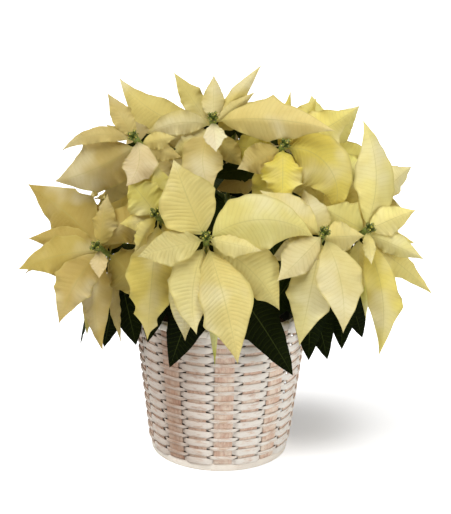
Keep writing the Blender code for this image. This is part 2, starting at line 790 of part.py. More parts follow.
def holder_shapes():
    """Basket and pot, as name, shape and material."""
    edge = BASKET_FOOT_RADIUS - HOOP_WIDTH - GAP
    profile = [(0, 0), (edge, 0), (edge, BOARD_THICKNESS), (0, BOARD_THICKNESS)]
    board = turned_shape(profile, RING_SIDES)
    hoop = ring_shape(BASKET_FOOT_RADIUS, HOOP_WIDTH, 0, HOOP_HEIGHT, 1.6, RING_SIDES)
    low = BASKET_HEIGHT - RIM_HEIGHT
    rim = ring_shape(BASKET_TOP_RADIUS + 2, RIM_WIDTH, low, BASKET_HEIGHT, 2.4, RING_SIDES)
    return [
        ("basket_base_board", board, "wood"),
        ("basket_foot_hoop", hoop, "hoop"),
        ("basket_wall", basket_wall_shape(), "wood"),
        ("basket_rim", rim, "wood"),
        ("nursery_pot", pot_shape(), "pot"),
    ]


def main():
    clear_scene()
    materials = make_materials()
    fixed = []
    for name, shape, material in holder_shapes():
        add_object(name, shape, materials[material])
        fixed.append(tree_of(shape))
    soil = add_object("soil", soil_shape(), materials["soil"])
    fixed.append(tree_of(soil_shape()))
    dig_holes(soil)
    blooms = all_blooms()
    for plant in PLANTS:
        shapes = trunk_shapes(plant, blooms)
        fixed += [tree_of(shape) for shape in shapes]
        fuse("trunk_" + plant, shapes, materials["trunk"])
    bracts, leaves = lay_out(blooms, fixed)
    for bloom in blooms:
        axes = face_axes(bloom.heading, bloom.pitch)
        petals = [blade_shape(bract, root, axes) for bract, root, _ in bracts[bloom.name]]
        fuse("bloom_" + bloom.name, [hub_shape(bloom)] + petals, materials["bract"])
        greens = [blade_shape(leaf, root, axes) for leaf, root, _ in leaves[bloom.name]]
        fuse("stem_" + bloom.name, [stem_shape(bloom)] + greens, materials["leaf"])
        fuse("cyathia_" + bloom.name, cyathia_shapes(bloom), materials["cyathia"])


main()
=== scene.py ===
# Cream poinsettia in a whitewashed woven basket: the looks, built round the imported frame.
# Sizes are in millimetres and angles in degrees; mm turns a length into metres.
# +X is right, +Y is away from the front, +Z is up.

import math
import random
from collections import namedtuple

import bpy
import numpy as np
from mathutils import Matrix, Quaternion, Vector
from mathutils.bvhtree import BVHTree


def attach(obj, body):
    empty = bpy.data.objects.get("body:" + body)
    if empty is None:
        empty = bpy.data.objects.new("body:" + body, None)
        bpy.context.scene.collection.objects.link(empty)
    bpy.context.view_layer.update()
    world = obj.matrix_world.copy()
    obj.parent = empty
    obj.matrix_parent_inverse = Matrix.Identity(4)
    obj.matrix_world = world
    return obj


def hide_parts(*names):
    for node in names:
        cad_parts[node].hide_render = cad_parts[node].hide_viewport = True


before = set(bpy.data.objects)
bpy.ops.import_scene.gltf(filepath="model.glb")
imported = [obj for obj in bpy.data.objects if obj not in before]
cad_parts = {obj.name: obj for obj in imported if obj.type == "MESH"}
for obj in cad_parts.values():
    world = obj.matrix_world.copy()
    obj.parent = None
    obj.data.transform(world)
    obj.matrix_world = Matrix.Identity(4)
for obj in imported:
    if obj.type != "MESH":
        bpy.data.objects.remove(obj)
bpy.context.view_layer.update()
mm = 0.001
print("frame loaded:", len(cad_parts), "nodes")


# Where every stem, bract and leaf goes: the same layout as the solids have

plant = {
    "soilTop": 148,
    "gap": 0.3,
    "stemRadius": 2.8,
    "stubLength": 20,
    "lowestBloom": 258,
    "lowestFork": 8,
    "forkSpread": 0.24,
    "stemSpread": 0.75,
    "stemPull": 0.38,
    "hubLength": 38,
    "hubRadius": 3.2,
    "hubFlare": 0.8,
    "firstBractDepth": 4.5,
    "bractSpacing": 2.2,
    "bladeThickness": 0.8,
    "clearance": 0.45,
    "trunks": {"left": (-20, -10), "right": (22, -8), "back": (0, 22)},
}

# A bloom faces along heading and pitch; its stem comes in along stemHeading and stemPitch
Bloom = namedtuple("Bloom", "name plant centre heading pitch stemHeading stemPitch bracts leaves")
Bract = namedtuple("Bract", "clock length width lift droop swing roll")
Leaf = namedtuple("Leaf", "along clock petiole length width lift droop swing roll")

centreFrontBloom = Bloom(
    "centre_front", "left", (-17, -130, 290), 0, 18, 0, 38,
    [
        Bract(98, 60, 24, 14, 18, 6, 20),
        Bract(260, 74, 38, 14, 25, -10, -10),
        Bract(334, 92, 60, 12, 28, 6, -6),
        Bract(47, 124, 62, 16, 34, 80, 10),
        Bract(110, 108, 58, 20, 26, 44, 0),
        Bract(158, 133, 56, 26, 30, 12, 0),
        Bract(206, 98, 50, 18, 22, -42, 10),
        Bract(208, 108, 44, 4, 26, -34, 0),
        Bract(172, 134, 14, -4, 10, 6, 0),
    ],
    [
        Leaf(0.96, 138, 50, 116, 54, 8, 34, 12, 10),
        Leaf(0.90, 195, 34, 94, 54, 6, 22, 4, -8),
    ],
)
rightFrontBloom = Bloom(
    "right_front", "right", (106, -105, 290), 0, 18, 10, 40,
    [
        Bract(222, 72, 38, 24, 20, 4, 8),
        Bract(150, 110, 48, 28, 24, 36, 6),
        Bract(192, 119, 50, 20, 26, -2, -8),
        Bract(308, 84, 38, 4, 26, -4, 0),
        Bract(86, 50, 34, -12, 16, 0, 0),
        Bract(250, 62, 26, -8, 16, -10, 0),
        Bract(342, 66, 38, -24, 14, 0, 0),
    ],
    [
        Leaf(0.90, 182, 28, 90, 50, 4, 14, -2, 6),
        Leaf(0.70, 162, 36, 80, 44, -4, 20, 4, 0),
        Leaf(0.84, 216, 26, 80, 44, -2, 16, 0, 0),
    ],
)
rightBloom = Bloom(
    "right", "right", (156, -65, 283), 0, 18, 30, 36,
    [
        Bract(172, 44, 14, 38, 12, 4, 0),
        Bract(297, 55, 40, 26, 24, 0, 0),
        Bract(62, 60, 32, 16, 26, 8, 0),
        Bract(24, 129, 44, 2, 22, -50, -10),
        Bract(108, 73, 26, 12, 28, 8, -12),
        Bract(150, 136, 36, 12, 20, 42, -8),
        Bract(318, 98, 44, -12, 20, 70, 0),
        Bract(122, 110, 24, -4, 24, 10, 6),
        Bract(178, 72, 28, 2, 18, 4, 0),
        Bract(168, 97, 14, -8, 18, 8, 0),
        Bract(88, 72, 26, -14, 16, 12, 0),
        Bract(40, 66, 28, -20, 18, 0, 0),
        Bract(240, 44, 30, 4, 18, 0, 0),
    ],
    [
        Leaf(0.92, 182, 30, 88, 48, 0, 20, -4, 0),
        Leaf(0.80, 160, 40, 76, 40, -10, 30, 0, 0),
    ],
)
leftBloom = Bloom(
    "left", "left", (-134, -75, 260), 0, 18, -30, 34,
    [
        Bract(176, 38, 20, 40, 16, 0, 0),
        Bract(4, 60, 30, 14, 20, 6, 25),
        Bract(28, 75, 40, 14, 26, 58, -10),
        Bract(224, 93, 42, 18, 26, -30, 8),
        Bract(198, 113, 34, 18, 24, -37, -12),
        Bract(271, 97, 44, 10, 26, -28, -6),
        Bract(291, 91, 34, -4, 20, -25, 0),
        Bract(317, 128, 54, 2, 26, -16, 8),
        Bract(118, 68, 54, 8, 26, 56, 0),
        Bract(170, 104, 16, 0, 16, 4, 30),
        Bract(338, 76, 26, -10, 16, 0, 0),
        Bract(6, 92, 44, -20, 14, 6, 0),
        Bract(214, 105, 20, -20, 10, -34, 0),
        Bract(86, 62, 36, -4, 16, 10, 0),
    ],
    [
        Leaf(0.95, 162, 24, 74, 46, -10, 20, 0, 0),
        Leaf(0.88, 192, 24, 80, 42, -8, 24, 0, 0),
        Leaf(0.90, 70, 10, 50, 42, -30, 0, 0, 0),
    ],
)
topBloom = Bloom(
    "top", "back", (-13, -25, 391), 0, 18, 0, 46,
    [
        Bract(173, 42, 24, 42, 20, 0, 0),
        Bract(82, 136, 44, 24, 26, 24, 0),
        Bract(0, 56, 26, -8, 16, 0, 0),
        Bract(51, 59, 15, 0, 14, 0, 0),
        Bract(37, 89, 18, -8, 10, 0, 0),
        Bract(288, 79, 28, 8, 20, -56, 6),
        Bract(233, 63, 26, 14, 22, 0, 0),
        Bract(214, 83, 46, 18, 30, -70, 0),
        Bract(325, 78, 27, -4, 10, 0, 0),
        Bract(274, 131, 44, -8, 16, 52, -8),
        Bract(54, 76, 22, -20, 10, 0, 0),
        Bract(137, 50, 26, 10, 20, 0, 0),
    ],
    [
        Leaf(0.90, 140, 26, 74, 36, -10, 24, 0, 0),
        Leaf(0.92, 100, 14, 52, 36, -6, 10, 0, 0),
        Leaf(0.66, 182, 34, 92, 46, 46, 30, 0, 0),
    ],
)
topLeftBloom = Bloom(
    "top_left", "left", (-96, -50, 375), 0, 18, -30, 42,
    [
        Bract(152, 60, 36, 34, 24, 72, 0),
        Bract(327, 61, 24, 2, 16, 0, 0),
        Bract(294, 93, 18, 10, 30, -64, 0),
        Bract(301, 42, 10, 4, 12, -6, 0),
        Bract(233, 107, 58, 0, 22, 27, 6),
        Bract(72, 40, 20, 0, 16, 10, 0),
        Bract(104, 48, 20, 8, 20, 0, 0),
        Bract(150, 72, 36, 4, 24, -10, 0),
        Bract(214, 86, 42, -10, 22, 0, 0),
    ],
    [
        Leaf(0.97, 330, 10, 46, 44, -20, 10, 0, 0),
        Leaf(0.82, 196, 30, 80, 42, -20, 20, 0, 0),
        Leaf(0.64, 138, 30, 84, 42, 36, 24, 0, 0),
    ],
)
upperRightBloom = Bloom(
    "upper_right", "right", (64, -40, 367), 0, 18, 24, 44,
    [
        Bract(180, 64, 44, 30, 26, 0, 0),
        Bract(244, 54, 36, 14, 20, 0, 0),
        Bract(76, 112, 62, 18, 34, 130, 10),
        Bract(66, 100, 44, 6, 24, -14, -10),
        Bract(35, 77, 36, -10, 18, -4, 0),
        Bract(168, 60, 20, 4, 20, 0, 0),
        Bract(10, 76, 14, -14, 10, 0, 0),
        Bract(196, 76, 46, -4, 20, -30, 0),
        Bract(284, 62, 38, -12, 20, 0, 0),
        Bract(120, 84, 40, -10, 22, 30, 0),
    ],
    [
        Leaf(0.92, 250, 16, 50, 36, -14, 10, 0, 0),
        Leaf(0.82, 214, 26, 74, 38, -16, 20, 0, 0),
        Leaf(0.62, 170, 30, 84, 44, 40, 24, 0, 0),
    ],
)
middleLeftBloom = Bloom(
    "middle_left", "left", (-70, -95, 304), 0, 18, -16, 38,
    [
        Bract(210, 48, 22, 22, 16, 0, 40),
        Bract(322, 51, 44, 6, 24, -4, 0),
        Bract(352, 64, 44, -6, 22, 0, 0),
        Bract(186, 131, 50, 14, 24, -3, 8),
        Bract(262, 44, 24, -2, 18, 0, 0),
        Bract(40, 56, 28, -16, 20, 10, 0),
        Bract(150, 76, 30, -6, 18, 0, 0),
    ],
    [
        Leaf(0.88, 190, 34, 86, 46, -6, 20, 0, 0),
        Leaf(0.74, 160, 34, 80, 44, -10, 14, 0, 0),
        Leaf(0.94, 74, 24, 66, 38, -12, 14, 0, 0),
    ],
)
backRightBloom = Bloom(
    "back_right", "back", (108, 48, 350), 0, 18, 60, 46,
    [
        Bract(352, 58, 34, 0, 22, 0, 0),
        Bract(46, 72, 36, 0, 24, 0, 0),
        Bract(118, 122, 26, -8, 22, 8, 0),
        Bract(126, 122, 20, -18, 16, 8, 0),
        Bract(92, 96, 34, -6, 30, 14, 0),
        Bract(140, 84, 38, -30, 16, 0, 0),
        Bract(226, 66, 34, -30, 10, 0, 0),
    ],
    [
        Leaf(0.80, 160, 26, 84, 40, -40, 10, 0, 0),
        Leaf(0.60, 230, 26, 84, 40, -50, 10, 0, 0),
    ],
)
farRightBloom = Bloom(
    "far_right", "right", (176, 40, 294), 82, 28, 84, 40,
    [
        Bract(268, 74, 34, 34, 30, -20, 0),
        Bract(320, 72, 36, 28, 26, 0, 0),
        Bract(20, 66, 34, 24, 24, 0, 0),
        Bract(84, 80, 36, 18, 30, 10, 0),
        Bract(140, 94, 40, 16, 30, 0, 0),
        Bract(196, 98, 42, 14, 30, 0, 0),
        Bract(238, 90, 40, 10, 26, 0, 0),
    ],
    [
        Leaf(0.90, 160, 32, 92, 44, -10, 20, 0, 0),
        Leaf(0.80, 215, 32, 84, 44, -16, 20, 0, 0),
    ],
)

# Blooms that the front hides: their bracts and leaves follow the plant's own spiral
spiralStep = 137.5
hiddenBlooms = [
    ("left_side", "left", (-160, 28, 272), -104, 30, 7),
    ("back_left", "back", (-102, 112, 276), -146, 30, 6),
    ("back_centre", "back", (6, 152, 284), 176, 30, 6),
    ("back_far_right", "right", (112, 120, 278), 138, 30, 6),
    ("top_back_left", "left", (-78, 52, 362), -132, 52, 6),
    ("top_back", "back", (12, 58, 374), 160, 62, 6),
]

shownBlooms = [
    centreFrontBloom, rightFrontBloom, rightBloom, leftBloom, topBloom, topLeftBloom,
    upperRightBloom, middleLeftBloom, backRightBloom, farRightBloom,
]


def polar(heading, pitch):
    turn, rise = math.radians(heading), math.radians(pitch)
    return Vector((math.sin(turn) * math.cos(rise), -math.cos(turn) * math.cos(rise), math.sin(rise)))


def faceAxes(heading, pitch):
    turn = math.radians(heading)
    right = Vector((math.cos(turn), math.sin(turn), 0))
    facing = polar(heading, pitch)
    return right, facing.cross(right), facing


def spiralBloom(name, trunk, centre, heading, pitch, count):
    draw = random.Random(name)
    start = draw.uniform(0, 360)
    bracts = []
    for i in range(count):
        age = i / (count - 1)
        length = 58 + 56 * age + draw.uniform(-6, 6)
        bracts.append(
            Bract(
                clock=(start + i * spiralStep) % 360,
                length=length,
                width=length * draw.uniform(0.40, 0.48),
                lift=26 - 34 * age,
                droop=draw.uniform(18, 36),
                swing=draw.uniform(-14, 14),
                roll=draw.uniform(-12, 12),
            )
        )
    leaves = []
    for i, side in enumerate((-34, 36)):
        clock, length = 180 + side + draw.uniform(-8, 8), draw.uniform(88, 106)
        leaves.append(Leaf(0.9 - 0.1 * i, clock, 34, length, 44, -4 - 6 * i, 24, 0, 0))
    return Bloom(name, trunk, centre, heading, pitch, heading, pitch + 8, bracts, leaves)


blade = {
    "bractStations": (0, 0.10, 0.37, 0.71, 1),
    "bractStalk": 0.05,
    "leafOutline": ((0.02, 0.12), (0.18, 0.66), (0.40, 1.0), (0.50, 0.74), (0.76, 0.42), (1, 0)),
    "stalkHalfWidth": 1.6,
    "stalkThickness": 2.0,
    "fold": -14,
    "midribSteps": 5,
    "liftChanges": (0, -5, 5, -10, 10, -16, 16, -24, 24, -34, 34),
    "clockChanges": (0, 5, -5, 11, -11),
    "sizeChanges": (1, 0.88, 0.74),
}


def bractHalfWidth(bract, along):
    along = max(0, (along - blade["bractStalk"]) / (1 - blade["bractStalk"]))
    swell = math.sin(math.pi * along ** 0.88) * (1 - 0.5 * along ** 6)
    return max(blade["stalkHalfWidth"], bract.width / 2 * swell)


def bladeSections(one):
    if isinstance(one, Bract):
        return [(at, bractHalfWidth(one, at), plant["bladeThickness"]) for at in blade["bractStations"]]
    stalk = one.petiole / (one.petiole + one.length)
    sections = [(0, blade["stalkHalfWidth"], blade["stalkThickness"])]
    for at, share in blade["leafOutline"]:
        half = max(blade["stalkHalfWidth"], one.width / 2 * share)
        sections.append((stalk + at * (1 - stalk), half, plant["bladeThickness"]))
    return sections


def wholeLength(one):
    return one.length + getattr(one, "petiole", 0)


def midribFrames(one, root, axes, stations, steps):
    # At each station: the midrib's place, and the ways across and up from the blade
    right, up, facing = axes
    frames = []
    point, at = root.copy(), 0.0
    roll = math.radians(one.roll)

    def directions(along):
        clock = math.radians(one.clock + one.swing * along)
        lift = math.radians(one.lift - one.droop * along)
        outward = math.sin(clock) * right + math.cos(clock) * up
        forward = math.cos(lift) * outward + math.sin(lift) * facing
        side = math.cos(clock) * right - math.sin(clock) * up
        normal = side.cross(forward)
        across = math.cos(roll) * side + math.sin(roll) * normal
        return forward, across, math.cos(roll) * normal - math.sin(roll) * side

    for station in stations:
        step = (station - at) / steps
        for i in range(steps):
            point = point + directions(at + (i + 0.5) * step)[0] * step * wholeLength(one)
        at = station
        frames.append((point, *directions(at)[1:]))
    return frames


def coarseBlade(one, root, axes, grow=0.0, first=0):
    sections = bladeSections(one)
    frames = midribFrames(one, root, axes, [section[0] for section in sections], blade["midribSteps"])
    fold = math.radians(blade["fold"])
    points = []
    for (_, half, thickness), (mid, side, normal) in list(zip(sections, frames))[first:-1]:
        half, thickness = half + grow, thickness / 2 + grow
        for face in (1, -1):
            for column in (-1, 0, 1):
                rise = abs(column) * half * math.sin(fold) + face * thickness
                points.append(mid + side * column * half * math.cos(fold) + normal * rise)
    tip, _, normal = frames[-1]
    tip = tip + (tip - frames[-2][0]).normalized() * grow
    thickness = plant["bladeThickness"] / 2 + grow
    points += [tip + normal * thickness, tip - normal * thickness]
    rings = (len(points) - 2) // 6
    faces = [(0, 3, 4), (0, 4, 1), (1, 4, 5), (1, 5, 2)]
    for ring in range(rings - 1):
        low, high = 6 * ring, 6 * ring + 6
        for column in (0, 1):
            a, b, c, d = low + column, low + column + 1, high + column + 1, high + column
            faces += [(a, b, c), (a, c, d), (a + 3, c + 3, b + 3), (a + 3, d + 3, c + 3)]
        faces += [(low + 2, low + 5, high + 5), (low + 2, high + 5, high + 2)]
        faces += [(low, high, high + 3), (low, high + 3, low + 3)]
    low, top, under = 6 * (rings - 1), len(points) - 2, len(points) - 1
    faces += [(low, low + 1, top), (low + 1, low + 2, top)]
    faces += [(low + 3, under, low + 4), (low + 4, under, low + 5)]
    faces += [(low + 2, low + 5, under), (low + 2, under, top), (low, top, under), (low, under, low + 3)]
    return points, faces


def gridFaces(rows, columns, closed=False, looped=False):
    # Faces between rows of points; closed joins each row's ends and looped joins the last row to the first
    faces = []
    for i in range(rows if looped else rows - 1):
        low, high = i * columns, (i + 1) % rows * columns
        for j in range(columns if closed else columns - 1):
            k = (j + 1) % columns
            faces.append((low + j, low + k, high + k, high + j))
    return faces


def endCaps(rows, columns):
    return [tuple(reversed(range(columns))), tuple(range((rows - 1) * columns, rows * columns))]


def circle(sides):
    # The cosine and sine of equal turns once round
    turns = [2 * math.pi * k / sides for k in range(sides)]
    return [(math.cos(turn), math.sin(turn)) for turn in turns]


def tube(path, radii, sides, ways=(None, None)):
    # Its flat ends lie across the two ways, where they are given
    points = []
    across = None
    for i, centre in enumerate(path):
        ahead = (path[min(i + 1, len(path) - 1)] - path[max(i - 1, 0)]).normalized()
        if i in (0, len(path) - 1):
            ahead = ways[min(i, 1)] or ahead
        across = (across or ahead.orthogonal()).normalized()
        across = (across - ahead * across.dot(ahead)).normalized()
        other = ahead.cross(across)
        points += [centre + radii[i] * (x * across + y * other) for x, y in circle(sides)]
    return points, gridFaces(len(path), sides, closed=True) + endCaps(len(path), sides)


def coarseBud(base, axis, length, radius):
    axis = axis.normalized()
    across = axis.orthogonal().normalized()
    other = axis.cross(across)
    middle = base + axis * 0.6 * length
    ring = [middle + radius * way for way in (across, other, -across, -other)]
    points = [base.copy(), *ring, base + axis * length]
    faces = []
    for k in range(4):
        here, after = 1 + k, 1 + (k + 1) % 4
        faces += [(0, after, here), (here, after, 5)]
    return points, faces


def treeOf(shape):
    return BVHTree.FromPolygons(*shape)


def treeOfNode(name):
    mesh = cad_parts[name].data
    points = [vertex.co / mm for vertex in mesh.vertices]
    return treeOf((points, [tuple(face.vertices) for face in mesh.polygons]))


def forkPoint(bloom):
    climb = plant["forkSpread"] * (bloom.centre[2] - plant["lowestBloom"])
    return Vector((*plant["trunks"][bloom.plant], plant["soilTop"] + plant["lowestFork"] + climb))


def stemEnds(bloom):
    # The stub's end, the way it points, the hub's foot and the hub's axis
    axis = polar(bloom.stemHeading, bloom.stemPitch)
    foot = Vector(bloom.centre) - axis * plant["hubLength"]
    top = forkPoint(bloom)
    sideways = Vector((foot.x - top.x, foot.y - top.y, 0)).normalized()
    leaving = sideways * plant["stemSpread"] + Vector((0, 0, 1))
    way = (leaving.normalized() + (foot - top).normalized() / 2).normalized()
    return top + way * plant["stubLength"], way, foot, axis


def stemPath(bloom, count=6):
    start, way, foot, axis = stemEnds(bloom)
    start, foot = start + way * plant["gap"], foot - axis * plant["gap"]
    pull = plant["stemPull"] * (foot - start).length
    first, second = start + way * pull, foot - axis * pull
    path = []
    for i in range(count):
        done = i / (count - 1)
        left = 1 - done
        early, late = 3 * left * left * done, 3 * left * done * done
        path.append(left ** 3 * start + early * first + late * second + done ** 3 * foot)
    return path


def pathPoint(path, along):
    place = along * (len(path) - 1)
    i = min(int(place), len(path) - 2)
    return path[i].lerp(path[i + 1], place - i)


def coarseHub(bloom):
    _, _, foot, axis = stemEnds(bloom)
    path = [foot, foot + axis * plant["hubLength"] * 0.6, Vector(bloom.centre)]
    wide = plant["hubRadius"]
    return tube(path, (plant["stemRadius"], wide, wide + plant["hubFlare"]), 5)


def coarseStem(bloom):
    _, way, _, axis = stemEnds(bloom)
    path = stemPath(bloom)
    return tube(path, [plant["stemRadius"]] * len(path), 5, (way, axis))


def coarseBuds(bloom):
    _, _, _, axis = stemEnds(bloom)
    base = Vector(bloom.centre) + axis * plant["gap"]
    cushion = tube([base, base + axis * 2.4], (3.2, 3.6), 6)
    across = axis.orthogonal().normalized()
    other = axis.cross(across)
    shapes = [cushion, coarseBud(base + axis * 1.4, axis, 8, 2.6)]
    for x, y in circle(3):
        lean = x * across + y * other
        shapes.append(coarseBud(base + axis * 1.0 + lean * 1.4, axis + lean * 0.95, 7.5, 2.2))
    return shapes


def bractRoot(bloom, index):
    _, _, _, axis = stemEnds(bloom)
    return Vector(bloom.centre) - axis * (plant["firstBractDepth"] + plant["bractSpacing"] * index)


def bentClear(one, root, axes, others, own):
    # The blade, bent, turned or shortened no more than it takes to miss the others
    grow = plant["clearance"]
    for near in (own, []):
        for size in blade["sizeChanges"]:
            for turn in blade["clockChanges"]:
                for rise in blade["liftChanges"]:
                    trial = one._replace(
                        length=one.length * size,
                        width=one.width * size,
                        clock=one.clock + turn,
                        lift=one.lift + rise,
                    )
                    tree = treeOf(coarseBlade(trial, root, axes, grow))
                    if any(tree.overlap(other) for other in others):
                        continue
                    outer = treeOf(coarseBlade(trial, root, axes, grow, first=1)) if near else None
                    if near and any(outer.overlap(other) for other in near):
                        continue
                    return trial
    return None


def layOut(blooms, fixed):
    # All the bracts and then all the leaves, each clear of what was placed before it
    stems = {bloom.name: treeOf(coarseStem(bloom)) for bloom in blooms}
    hubs = {bloom.name: treeOf(coarseHub(bloom)) for bloom in blooms}
    buds = [treeOf(shape) for bloom in blooms for shape in coarseBuds(bloom)]
    placed = []

    def settle(bloom, blades, roots, still, first):
        axes = faceAxes(bloom.heading, bloom.pitch)
        own, made, kept = [], [], []
        for index, (one, root) in enumerate(zip(blades, roots)):
            clear = bentClear(one, root, axes, still + placed, own)
            if clear is not None:
                kept.append((clear, root, index))
                made.append(treeOf(coarseBlade(clear, root, axes)))
                own.append(treeOf(coarseBlade(clear, root, axes, first=first)))
        placed.extend(made)
        return kept

    bracts, leaves = {}, {}
    for bloom in blooms:
        roots = [bractRoot(bloom, index) for index in range(len(bloom.bracts))]
        still = fixed + buds + list(stems.values()) + [hubs[name] for name in hubs if name != bloom.name]
        bracts[bloom.name] = settle(bloom, bloom.bracts, roots, still, 1)
    for bloom in blooms:
        roots = [pathPoint(stemPath(bloom), leaf.along) for leaf in bloom.leaves]
        still = fixed + buds + list(hubs.values()) + [stems[name] for name in stems if name != bloom.name]
        leaves[bloom.name] = settle(bloom, bloom.leaves, roots, still, 2)
    return bracts, leaves


fixedNodes = (
    "basket_base_board", "basket_foot_hoop", "basket_wall", "basket_rim", "nursery_pot", "soil",
    "trunk_left", "trunk_right", "trunk_back",
)
allBlooms = shownBlooms + [spiralBloom(*row) for row in hiddenBlooms]
placedBracts, placedLeaves = layOut(allBlooms, [treeOfNode(name) for name in fixedNodes])
bractCount, leafCount = (sum(map(len, placed.values())) for placed in (placedBracts, placedLeaves))
print("laid out", bractCount, "bracts and", leafCount, "leaves")


# Shader nodes

def feed(tree, node, values):
    # Links each socket that is given, and sets each plain value; a colour is given without its alpha
    for key, value in values.items():
        socket = node.inputs[key]
        if isinstance(value, bpy.types.NodeSocket):
            tree.links.new(value, socket)
        else:
            socket.default_value = (*value, 1) if socket.type == "RGBA" else value


def addNode(tree, kind, values=None, **settings):
    node = tree.nodes.new(kind)
    for key, value in settings.items():
        setattr(node, key, value)
    feed(tree, node, values or {})
    return node


def maths(tree, operation, *values, clamp=False):
    node = addNode(tree, "ShaderNodeMath", dict(enumerate(values)), operation=operation, use_clamp=clamp)
    return node.outputs[0]


def times(tree, *values):
    return maths(tree, "MULTIPLY", *values)


def mixColours(tree, factor, first, second, blend="MIX"):
    values = {0: factor, 6: first, 7: second}
    return addNode(tree, "ShaderNodeMix", values, data_type="RGBA", blend_type=blend).outputs[2]


def overlay(tree, tone, mask, share, colour, blend="MIX"):
    # Lays a colour over tone where the mask is high, by share at most
    return mixColours(tree, times(tree, mask, share), tone, colour, blend)


def fade(tree, value, low, high, start=0.0, end=1.0):
    # Turns low..high into start..end, smoothly, and holds still outside it
    values = {"Value": value, "From Min": low, "From Max": high, "To Min": start, "To Max": end}
    return addNode(tree, "ShaderNodeMapRange", values, interpolation_type="SMOOTHSTEP").outputs[0]


def makeGroup(name, inputs, outputs):
    # An input without a value is a vector; all the rest are plain values
    group = bpy.data.node_groups.new(name, "ShaderNodeTree")
    for label, value in inputs.items():
        kind = "NodeSocketVector" if value is None else "NodeSocketFloat"
        socket = group.interface.new_socket(name=label, in_out="INPUT", socket_type=kind)
        if value is not None:
            socket.default_value = value
    for label in outputs:
        group.interface.new_socket(name=label, in_out="OUTPUT", socket_type="NodeSocketFloat")
    return group, group.nodes.new("NodeGroupInput").outputs, group.nodes.new("NodeGroupOutput")


def useGroup(tree, group, values):
    return addNode(tree, "ShaderNodeGroup", values, node_tree=group).outputs


def newMaterial(name):
    material = bpy.data.materials.new(name)
    material.use_nodes = True
    tree = material.node_tree
    tree.nodes.clear()
    output = tree.nodes.new("ShaderNodeOutputMaterial")
    return material, tree, output


def finishMaterial(tree, output, tone, roughness, shine, more):
    values = {"Base Color": tone, "Roughness": roughness, "Specular IOR Level": shine, **more}
    shader = addNode(tree, "ShaderNodeBsdfPrincipled", values)
    tree.links.new(shader.outputs[0], output.inputs["Surface"])
    return shader


def shineThrough(tree, output, shader, share, values):
    # Mixes in light that comes through a thin blade
    glow = addNode(tree, "ShaderNodeBsdfTranslucent", values)
    both = addNode(tree, "ShaderNodeMixShader", {0: share, 1: shader.outputs[0], 2: glow.outputs[0]})
    tree.links.new(both.outputs[0], output.inputs["Surface"])


def attribute(tree, name):
    return addNode(tree, "ShaderNodeAttribute", attribute_name=name).outputs


def places(tree):
    return addNode(tree, "ShaderNodeTexCoord").outputs["Object"]


def bump(tree, height, strength, distance):
    values = {"Height": height, "Strength": strength, "Distance": distance}
    return addNode(tree, "ShaderNodeBump", values).outputs[0]


def noise(tree, place, scale, detail, roughness=0.5):
    values = {"Vector": place, "Scale": scale, "Detail": detail, "Roughness": roughness}
    return addNode(tree, "ShaderNodeTexNoise", values).outputs["Fac"]


def cells(tree, place, scale, feature="F1"):
    values = {"Vector": place, "Scale": scale}
    return addNode(tree, "ShaderNodeTexVoronoi", values, feature=feature).outputs["Distance"]


def split(tree, vector):
    return addNode(tree, "ShaderNodeSeparateXYZ", {0: vector}).outputs


def combine(tree, *values):
    return addNode(tree, "ShaderNodeCombineXYZ", dict(enumerate(values))).outputs[0]


def veinPattern():
    # Vein holds the count of side veins so far, the way out to the edge and the way along, both 0 to 1
    group, given, output = makeGroup(
        "vein pattern", {"Vein": None, "Width": 0.12, "Rib": 0.06}, ("Side veins", "Midrib", "Puff")
    )
    parts = split(group, given["Vein"])
    wave = maths(group, "PINGPONG", parts["X"], 0.5)
    side = maths(group, "SUBTRACT", 1.0, maths(group, "DIVIDE", wave, given["Width"]), clamp=True)
    outside = fade(group, parts["Y"], 0.72, 1.0, 1.0, 0.15)
    rib = maths(group, "SUBTRACT", 1.0, maths(group, "DIVIDE", parts["Y"], given["Rib"]), clamp=True)
    swell = maths(group, "SINE", times(group, wave, math.pi))
    inside = times(group, fade(group, parts["Y"], 0.03, 0.2), fade(group, parts["Y"], 0.7, 1.0, 1.0, 0.3))
    feed(group, output, {
        "Side veins": times(group, side, outside), "Midrib": rib, "Puff": times(group, swell, inside),
    })
    return group


def netPattern():
    # The fine net between the side veins, cloudy patches and a fine grain
    group, given, output = makeGroup(
        "leaf net", {"Place": None, "Cells": 900.0, "Patches": 60.0}, ("Net", "Patch", "Grain")
    )
    edges = cells(group, given["Place"], given["Cells"], "DISTANCE_TO_EDGE")
    cloud = noise(group, given["Place"], given["Patches"], 3.0, 0.6)
    feed(group, output, {
        "Net": fade(group, edges, 0.0, 0.14, 1.0, 0.0),
        "Patch": fade(group, cloud, 0.32, 0.68),
        "Grain": noise(group, given["Place"], 2600.0, 1.0),
    })
    return group


def stripGrain():
    # Strip holds the way along it in mm, the way across it (-1 to 1) and its number
    group, given, output = makeGroup(
        "strip grain", {"Strip": None, "Wash": 0.5}, ("Streaks", "Washed", "Own", "Knots")
    )
    parts = split(group, given["Strip"])
    number = times(group, parts["Z"], 7.31)
    fine = combine(group, times(group, parts["X"], 0.035), times(group, parts["Y"], 2.4), number)
    slow = combine(group, times(group, parts["X"], 0.05), parts["Y"], number)
    amount = maths(group, "SUBTRACT", given["Wash"], 0.5)
    level = maths(group, "ADD", noise(group, slow, 1.3, 4.0, 0.7), amount)
    own = addNode(group, "ShaderNodeTexWhiteNoise", {"W": number}, noise_dimensions="1D")
    feed(group, output, {
        "Streaks": noise(group, fine, 2.2, 5.0, 0.65),
        "Washed": fade(group, level, 0.36, 0.62),
        "Own": own.outputs["Value"],
        "Knots": fade(group, noise(group, slow, 7.0, 2.0), 0.66, 0.8),
    })
    return group


groups = {"veins": veinPattern(), "net": netPattern(), "grain": stripGrain()}


